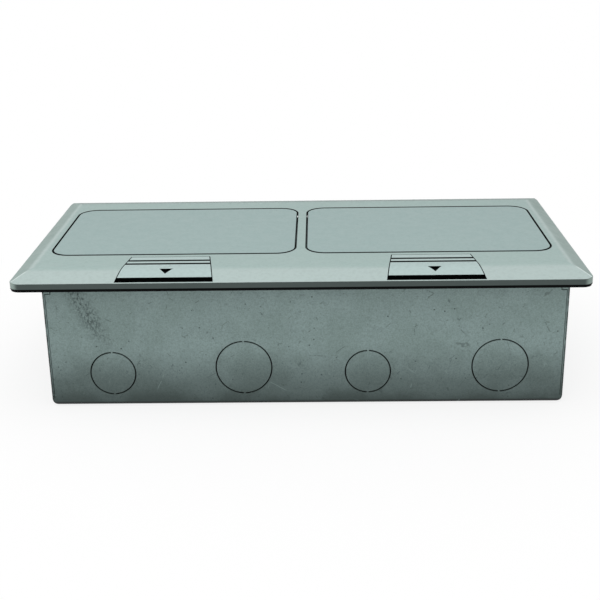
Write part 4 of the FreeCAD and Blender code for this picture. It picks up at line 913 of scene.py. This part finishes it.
@dataclass(frozen=True)
class MouldedPlastic:
    """Injection-moulded plastic: even colour, faint flow clouds and a fine spark-eroded skin."""

    name: str
    colour: str
    shade: str
    roughness: float = 0.3
    ior: float = 1.55
    # The real skin is under 0.1 mm across, which wouldn't show
    skin_mm: float = 0.4
    skin_deep_mm: float = 0.006
    flow_mm: float = 14.0
    sheen_mm: float = 5.0

    def make(self) -> bpy.types.Material:
        """Build the material.

        Returns:
            The finished material.
        """
        paint = Painter(self.name, self.roughness, ior=self.ior)
        paint.drive("Base Color", self._tone(paint))
        paint.drive("Roughness", paint.between(paint.pattern("TexNoise", self.sheen_mm), 0.3, 0.7,
                                               self.roughness, self.roughness + 0.08))
        paint.bump(paint.pattern("TexNoise", self.skin_mm), self.skin_deep_mm)
        return paint.material

    def _tone(self, paint: Painter) -> Socket:
        """Return the plastic's colour with its faint flow clouds."""
        flow = paint.pattern("TexNoise", self.flow_mm, {"Detail": 3.0})
        return paint.coats(self.colour, (paint.between(flow, 0.38, 0.68, 0.0, 0.2), self.shade))


@dataclass(frozen=True)
class OutletPlastic(MouldedPlastic):
    """The data outlets' plastic: white outside, with a black jack insert behind each port's mouth."""

    jack: str = "#161819"
    half_wide_mm: float = 6.2
    soft_mm: float = 0.1
    deep_mm: tuple[float, float] = (1.1, 20.0)
    along_mm: tuple[float, float] = (-34.0, -21.2)

    def _tone(self, paint: Painter) -> Socket:
        """Turn the white of the shell to black within the ports.

        Args:
            paint: the material's painter.

        Returns:
            The plastic's colour.
        """
        nearest = None
        for _, side in SIDES:
            for port in Port:
                away = paint.absolute(paint.minus(paint.spot[0], side * LID_MIDDLE_MM + port.value))
                nearest = away if nearest is None else paint.reckon("MINIMUM", nearest, away)
        tilt = math.radians(PANEL.lean)
        back = paint.minus(paint.spot[1], PANEL.top_y)
        up = paint.minus(paint.spot[2], PANEL.top_z)
        deep = paint.reckon("ADD", paint.product(back, math.cos(tilt)),
                            paint.product(up, math.sin(tilt)))
        along = paint.reckon("SUBTRACT", paint.product(up, math.cos(tilt)),
                             paint.product(back, math.sin(tilt)))
        beside = paint.ramp(nearest, self.half_wide_mm + self.soft_mm, self.half_wide_mm)
        well = paint.product(beside, paint.within(deep, *self.deep_mm),
                             paint.within(along, *self.along_mm))
        return paint.coats(super()._tone(paint), (well, self.jack))


@dataclass(frozen=True)
class Finishes:
    """Every finish on the object, made once and shared by the pieces."""

    cover: PowderCoatedCasting = PowderCoatedCasting("cover_powder_coat", "#9bb0ac", "#abbbb8",
                                                     recess=Recess.LATCH_SLOTS)
    # The lid's upright faces take a paler painted shade than the cover's
    lid: PowderCoatedCasting = PowderCoatedCasting("lid_powder_coat", "#94aaa8", "#9cb1ad",
                                                   inner="#5c6967", roughness=0.38)
    latch: PowderCoatedCasting = PowderCoatedCasting("latch_powder_coat", "#a9bcba", "#acbfbd",
                                                     recess=Recess.GROOVES_AND_ARROW)
    box: GalvanisedSheet = GalvanisedSheet()
    foam: FoamRubber = FoamRubber()
    screw: PlatedSteel = PlatedSteel("screw_zinc_plate", roughness=0.26)
    sheet: PlatedSteel = PlatedSteel("carrier_zinc_plate", "#a9b1af", "#87908e", 0.36)
    pin: PlatedSteel = PlatedSteel("ground_pin_steel", "#c3c7c6", "#9fa5a4", 0.18, 0.2)
    wire: DrawnWire = DrawnWire()
    white: MouldedPlastic = MouldedPlastic("white_polycarbonate", "#eceeea", "#e1e4df", 0.24, 1.58)
    outlet: OutletPlastic = OutletPlastic("outlet_polycarbonate", "#eceeea", "#e1e4df", 0.24, 1.58)
    grey: MouldedPlastic = MouldedPlastic("shutter_polyamide", "#5d6365", "#52585a", 0.45, 1.53)
    black: MouldedPlastic = MouldedPlastic("glass_filled_polyamide", "#1d1f20", "#2b2e2f", 0.52, 1.53,
                                           0.6, 0.02)
    acetal: MouldedPlastic = MouldedPlastic("natural_acetal", "#d3d1c5", "#c6c4b8", 0.38, 1.48)
    brass: TurnedBrass = TurnedBrass()
    gold: TurnedBrass = TurnedBrass("gilded_contact", "#d9b455", "#c39a3c")


class Wardrobe:
    """Makes each finish the first time a piece asks for it."""

    def __init__(self) -> None:
        """Start with nothing made."""
        self.made: dict[str, bpy.types.Material] = {}

    def get(self, finish: Any) -> bpy.types.Material:
        """Find the material of a finish, and make it if it is new.

        Args:
            finish: the finish.

        Returns:
            Its material.
        """
        if finish.name not in self.made:
            self.made[finish.name] = finish.make()
        return self.made[finish.name]


FINISHES = Finishes()
WARDROBE = Wardrobe()


def smoother(angle: float) -> bpy.types.NodeTree:
    """Make the geometry tree that shades all but the sharp edges smooth.

    Args:
        angle: edges sharper than this many degrees stay sharp.

    Returns:
        The tree, made once.
    """
    name = f"smooth_under_{angle:.0f}"
    if name in bpy.data.node_groups:
        return bpy.data.node_groups[name]
    tree = bpy.data.node_groups.new(name, "GeometryNodeTree")
    tree.interface.new_socket("Geometry", in_out="INPUT", socket_type="NodeSocketGeometry")
    tree.interface.new_socket("Geometry", in_out="OUTPUT", socket_type="NodeSocketGeometry")
    start = add(tree, "NodeGroupInput")
    bend = add(tree, "GeometryNodeInputMeshEdgeAngle")
    gentle = add(tree, "FunctionNodeCompare", {0: bend.outputs["Unsigned Angle"]},
                 {1: math.radians(angle)}, operation="LESS_EQUAL")
    faces = add(tree, "GeometryNodeSetShadeSmooth", {"Geometry": start.outputs[0]})
    edges = add(tree, "GeometryNodeSetShadeSmooth",
                {"Geometry": faces.outputs[0], "Shade Smooth": gentle.outputs[0]}, domain="EDGE")
    add(tree, "NodeGroupOutput", {0: edges.outputs[0]})
    return tree


def dress(node: bpy.types.Object, finish: Any, edge_mm: float = 0.0) -> None:
    """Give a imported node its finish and, if asked, small round edges.

    Args:
        node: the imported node; its own mesh points are left as they are.
        finish: the finish that it takes.
        edge_mm: radius of the round on its sharp edges, or 0 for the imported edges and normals.
    """
    node.data.materials.clear()
    node.data.materials.append(WARDROBE.get(finish))
    if edge_mm:
        node.data.attributes.remove(node.data.attributes["custom_normal"])
        weld = node.modifiers.new("weld", "WELD")
        weld.merge_threshold = WELD_MM * MM
        bevel = node.modifiers.new("round", "BEVEL")
        bevel.width = edge_mm * MM
        bevel.segments = 2
        bevel.limit_method = "ANGLE"
        bevel.angle_limit = math.radians(EDGE_DEGREES)
        bevel.use_clamp_overlap = True
        shade = node.modifiers.new("shade", "NODES")
        shade.node_group = smoother(EDGE_DEGREES)
    LOG.info("dressed %s in %s", node.name, finish.name)


def dress_all(nodes: dict[str, bpy.types.Object], prefix: str,
              rows: tuple[tuple[str, Any, float], ...]) -> None:
    """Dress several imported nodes.

    Args:
        nodes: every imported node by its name.
        prefix: the start of each of these nodes' names.
        rows: the rest of a node's name, its finish, and the round on its edges in millimetres.
    """
    for name, finish, edge_mm in rows:
        dress(nodes[prefix + name], finish, edge_mm)


def new_piece(name: str, mesh: bmesh.types.BMesh, finish: Any, body: str) -> bpy.types.Object:
    """Turn a finished mesh into a piece that rides on a body.

    Args:
        name: the piece's name.
        mesh: its geometry in the row frame.
        finish: its finish.
        body: the body that it rides on.

    Returns:
        The new object.
    """
    data = bpy.data.meshes.new(name)
    bmesh.ops.recalc_face_normals(mesh, faces=mesh.faces[:])
    mesh.to_mesh(data)
    mesh.free()
    data.materials.append(WARDROBE.get(finish))
    for face in data.polygons:
        face.use_smooth = True
    data.set_sharp_from_angle(angle=math.radians(SMOOTH_DEGREES))
    piece = bpy.data.objects.new(name, data)
    bpy.context.scene.collection.objects.link(piece)
    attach(piece, body)
    LOG.info("built %s on %s", name, body)
    return piece


def new_spring(node: bpy.types.Object, finish: Any, joint: str) -> bpy.types.Object:
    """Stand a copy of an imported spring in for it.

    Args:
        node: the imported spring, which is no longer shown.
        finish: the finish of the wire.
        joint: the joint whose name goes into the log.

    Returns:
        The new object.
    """
    piece = bpy.data.objects.new(node.name.replace("spring", "spring_coil"), node.data.copy())
    piece.matrix_world = node.matrix_world
    piece.data.materials.clear()
    piece.data.materials.append(WARDROBE.get(finish))
    bpy.context.scene.collection.objects.link(piece)
    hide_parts(node.name)
    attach(piece, "floor_box")
    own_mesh(piece)
    LOG.info("built %s, which shortens with %s", piece.name, joint)
    return piece


@dataclass
class BackBox:
    """The folded back box with its earth terminal."""

    nodes: dict[str, bpy.types.Object]
    nut_edge: float = 0.25

    def build(self) -> None:
        """Dress the box and its earth terminal."""
        dress_all(self.nodes, "", (
            ("back_box", FINISHES.box, 0.0),
            ("earth_stud", FINISHES.brass, 0.0),
            ("earth_nut", FINISHES.brass, self.nut_edge),
        ))


@dataclass
class Cover:
    """The cast cover frame, its seal, its screws and the hinge pins."""

    nodes: dict[str, bpy.types.Object]
    screw_edge: float = 0.2

    def build(self) -> None:
        """Dress the cover's own nodes."""
        dress_all(self.nodes, "", (
            ("cover_frame", FINISHES.cover, 0.0),
            ("floor_gasket", FINISHES.foam, 0.0),
            ("cover_screws", FINISHES.screw, self.screw_edge),
            ("left_hinge_pin", FINISHES.pin, 0.0),
            ("middle_hinge_pin", FINISHES.pin, 0.0),
            ("right_hinge_pin", FINISHES.pin, 0.0),
        ))


@dataclass
class DamperStage:
    """The bracket under the bar between the lids, with both rotary dampers and springs."""

    nodes: dict[str, bpy.types.Object]
    screw_edge: float = 0.15
    housing_edge: float = 0.3
    lift_keep: float = 0.853

    def build(self) -> None:
        """Dress the bracket, dampers, gears and springs."""
        dress_all(self.nodes, "", (
            ("damper_bracket", FINISHES.sheet, 0.0),
            ("bracket_screws", FINISHES.screw, self.screw_edge),
            ("damper_screws", FINISHES.screw, self.screw_edge),
        ))
        for word, _ in SIDES:
            dress_all(self.nodes, f"{word}_damper_", (
                ("housing", FINISHES.black, self.housing_edge),
                ("pinion", FINISHES.acetal, 0.0),
                ("sector", FINISHES.acetal, 0.0),
            ))
            new_spring(self.nodes[f"{word}_lift_spring"], FINISHES.wire, f"{word}_lid_hinge")


@dataclass
class LidUnit:
    """One lid with its latch, carrier, socket modules and small parts, in millimetres."""

    nodes: dict[str, bpy.types.Object]
    word: str
    side: float
    screw_edge: float = 0.15
    shutter_edge: float = 0.2
    terminal_edge: float = 0.25
    module_edge: float = 0.5
    latch_keep: float = 0.61
    contact_count: int = 8
    contact_step: float = 1.02
    contact_radius: float = 0.2
    contact_sides: int = 6
    port_up: float = 3.5
    # Depth into the port and height above its top edge, from a contact's tip to its root
    contact_path: tuple[tuple[float, float], ...] = (
        (1.5, -0.4), (3.0, -0.9), (8.5, -4.2), (10.1, -4.6), (11.9, -4.6))

    def build(self) -> None:
        """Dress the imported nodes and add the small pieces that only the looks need."""
        dress_all(self.nodes, f"{self.word}_", (
            ("lid", FINISHES.lid, 0.0),
            ("latch", FINISHES.latch, 0.0),
            ("socket_carrier", FINISHES.sheet, 0.0),
            ("carrier_screws", FINISHES.screw, self.screw_edge),
            ("sector_screws", FINISHES.screw, self.screw_edge),
            ("power_socket", FINISHES.white, self.module_edge),
            ("power_shutter", FINISHES.grey, self.shutter_edge),
            ("power_terminals", FINISHES.brass, self.terminal_edge),
            ("first_data_outlet", FINISHES.outlet, self.module_edge),
            ("second_data_outlet", FINISHES.outlet, self.module_edge),
        ))
        new_spring(self.nodes[f"{self.word}_latch_spring"], FINISHES.wire, f"{self.word}_latch_slide")
        for port in Port:
            self._contacts(port)

    def _contacts(self, port: Port) -> None:
        """Build the row of sprung contact wires in one data port.

        Args:
            port: which of the two data ports it is.
        """
        mesh = bmesh.new()
        frame = PANEL.matrix(self.side * LID_MIDDLE_MM)
        top = -PANEL.long / 2 + self.port_up
        for index in range(self.contact_count):
            x = port.value + (index - (self.contact_count - 1) / 2) * self.contact_step
            self._wire(mesh, [frame @ Vector((x, deep, top + up)) for deep, up in self.contact_path])
        new_piece(f"{self.word}_{port.name.lower()}_data_contacts", mesh, FINISHES.gold,
                  f"{self.word}_lid_unit")

    def _wire(self, mesh: bmesh.types.BMesh, path: list[Vector]) -> None:
        """Add one bent wire with flat ends.

        Args:
            mesh: the mesh that it is added to.
            path: the points of its middle line, in the row frame.
        """
        rings = []
        across = Vector((1, 0, 0))
        for index, point in enumerate(path):
            ahead = path[min(index + 1, len(path) - 1)] - path[max(index - 1, 0)]
            up = across.cross(ahead.normalized())
            ring = []
            for corner in range(self.contact_sides):
                angle = math.tau * corner / self.contact_sides
                offset = across * math.cos(angle) + up * math.sin(angle)
                ring.append(mesh.verts.new(point + offset * self.contact_radius * MM))
            rings.append(ring)
        for near, far in zip(rings, rings[1:]):
            for corner in range(self.contact_sides):
                following = (corner + 1) % self.contact_sides
                mesh.faces.new((near[corner], near[following], far[following], far[corner]))
        mesh.faces.new(rings[0])
        mesh.faces.new(rings[-1])


@dataclass(frozen=True)
class Softbox:
    """One soft lamp: its place and size in metres, and its power in watts."""

    name: str
    spot: tuple[float, float, float]
    wide: float
    deep: float
    watts: float

    def hang(self, target: tuple[float, float, float]) -> None:
        """Hang the lamp so that it looks at a target.

        Args:
            target: the point that it looks at, in metres.
        """
        data = bpy.data.lights.new(self.name, "AREA")
        data.shape = "RECTANGLE"
        data.size = self.wide
        data.size_y = self.deep
        data.energy = self.watts
        lamp = bpy.data.objects.new(self.name, data)
        lamp.location = self.spot
        aim = Vector(target) - Vector(self.spot)
        lamp.rotation_euler = aim.to_track_quat("-Z", "Y").to_euler()
        bpy.context.scene.collection.objects.link(lamp)


@dataclass
class Studio:
    """The pale floor, soft lamps and the camera at the photograph's angle."""

    lamps: tuple[Softbox, ...] = (
        Softbox("overhead_softbox", (0.1, -0.12, 0.8), 0.7, 0.6, 2.2),
        Softbox("front_softbox", (-0.1, -0.74, 0.72), 0.55, 0.55, 2.0),
        Softbox("left_softbox", (-0.6, -0.1, 0.5), 0.35, 0.35, 0.9),
    )
    lamps_target: tuple[float, float, float] = (0.0, 0.0, 0.04)
    sky: float = 0.58
    floor_size: float = 6.0
    floor_drop_mm: float = 0.2
    floor_share: float = 0.8
    # The floor turns to plain white between these distances from the object's middle, in metres
    floor_white: tuple[float, float] = (0.1, 0.26)
    picture: float = 600.0
    focal_pixels: float = 1088.46
    sensor_mm: float = 36.0
    clip_start: float = 0.01
    azimuth: float = 1.11
    elevation: float = 20.08
    roll: float = -0.90
    target_mm: tuple[float, float, float] = (-0.54, -41.57, 44.6)
    distance_mm: float = 502.58

    def build(self) -> None:
        """Make the floor, the lamps, the world and the camera."""
        self._floor()
        self._world()
        for lamp in self.lamps:
            lamp.hang(self.lamps_target)
        self._camera()

    def _floor(self) -> None:
        """Make a wide pale floor that turns to plain white away from the object."""
        mesh = bmesh.new()
        bmesh.ops.create_grid(mesh, x_segments=1, y_segments=1, size=self.floor_size)
        data = bpy.data.meshes.new("pale_floor")
        mesh.to_mesh(data)
        mesh.free()
        floor = bpy.data.objects.new("pale_floor", data)
        floor.location.z = -self.floor_drop_mm * MM
        bpy.context.scene.collection.objects.link(floor)
        paint = Painter("pale_floor_paper", 0.9)
        paint.shader.inputs["Base Color"].default_value = linear("#f4f4f4")
        # Seen directly or in a reflection, the paper is plain white away from the shadow
        length = add(paint.tree, "VectorMath", {0: paint.place["Object"]}, operation="LENGTH")
        far = paint.between(length.outputs["Value"], *self.floor_white)
        path = add(paint.tree, "LightPath").outputs
        seen = paint.most(path["Is Camera Ray"], path["Is Glossy Ray"], path["Is Transmission Ray"])
        share = paint.product(seen, paint.between(far, 0.0, 1.0, self.floor_share, 1.0))
        glow = add(paint.tree, "Emission", values={"Color": linear("#ffffff"), "Strength": 1.0})
        mix = add(paint.tree, "MixShader", {0: share, 1: paint.shader.outputs[0], 2: glow.outputs[0]})
        paint.tree.links.new(mix.outputs[0], paint.output.inputs["Surface"])
        data.materials.append(paint.material)

    def _world(self) -> None:
        """Make a soft white sky that looks plain white to the camera and through clear things."""
        world = bpy.data.worlds.new("studio_sky")
        world.use_nodes = True
        tree = world.node_tree
        tree.nodes.clear()
        path = add(tree, "LightPath").outputs
        seen = add(tree, "Math", {0: path["Is Camera Ray"], 1: path["Is Transmission Ray"]},
                   operation="MAXIMUM")
        strength = add(tree, "MapRange", {"Value": seen.outputs[0]}, {"To Min": self.sky, "To Max": 1.0})
        sky = add(tree, "Background", {"Strength": strength.outputs[0]}, {"Color": linear("#ffffff")})
        add(tree, "OutputWorld", {"Surface": sky.outputs[0]})
        bpy.context.scene.world = world

    def _camera(self) -> None:
        """Put the camera where the photograph was taken from."""
        turn, lift, tilt = (math.radians(v) for v in (self.azimuth, self.elevation, self.roll))
        back = Vector((math.sin(turn) * math.cos(lift), -math.cos(turn) * math.cos(lift),
                       math.sin(lift)))
        right = (-back).cross(Vector((0, 0, 1))).normalized()
        up = right.cross(-back)
        right_tilted = right * math.cos(tilt) + up * math.sin(tilt)
        up_tilted = up * math.cos(tilt) - right * math.sin(tilt)
        spot = Vector(self.target_mm) * MM + back * self.distance_mm * MM
        data = bpy.data.cameras.new("photo_camera")
        data.sensor_width = self.sensor_mm
        data.lens = self.focal_pixels / self.picture * self.sensor_mm
        data.clip_start = self.clip_start
        camera = bpy.data.objects.new("photo_camera", data)
        frame = Matrix((right_tilted, up_tilted, back)).transposed().to_4x4()
        camera.matrix_world = Matrix.Translation(spot) @ frame
        bpy.context.scene.collection.objects.link(camera)
        bpy.context.scene.camera = camera


def main() -> None:
    """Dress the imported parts, add the small pieces and set the stage."""
    logging.basicConfig(level=logging.INFO, format="%(message)s")
    bpy.context.scene.view_settings.view_transform = "Standard"
    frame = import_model()
    nodes = frame["nodes"]
    Studio().build()
    BackBox(nodes).build()
    Cover(nodes).build()
    DamperStage(nodes).build()
    for word, side in SIDES:
        LidUnit(nodes, word, side).build()


if __name__ == "__main__":
    main()
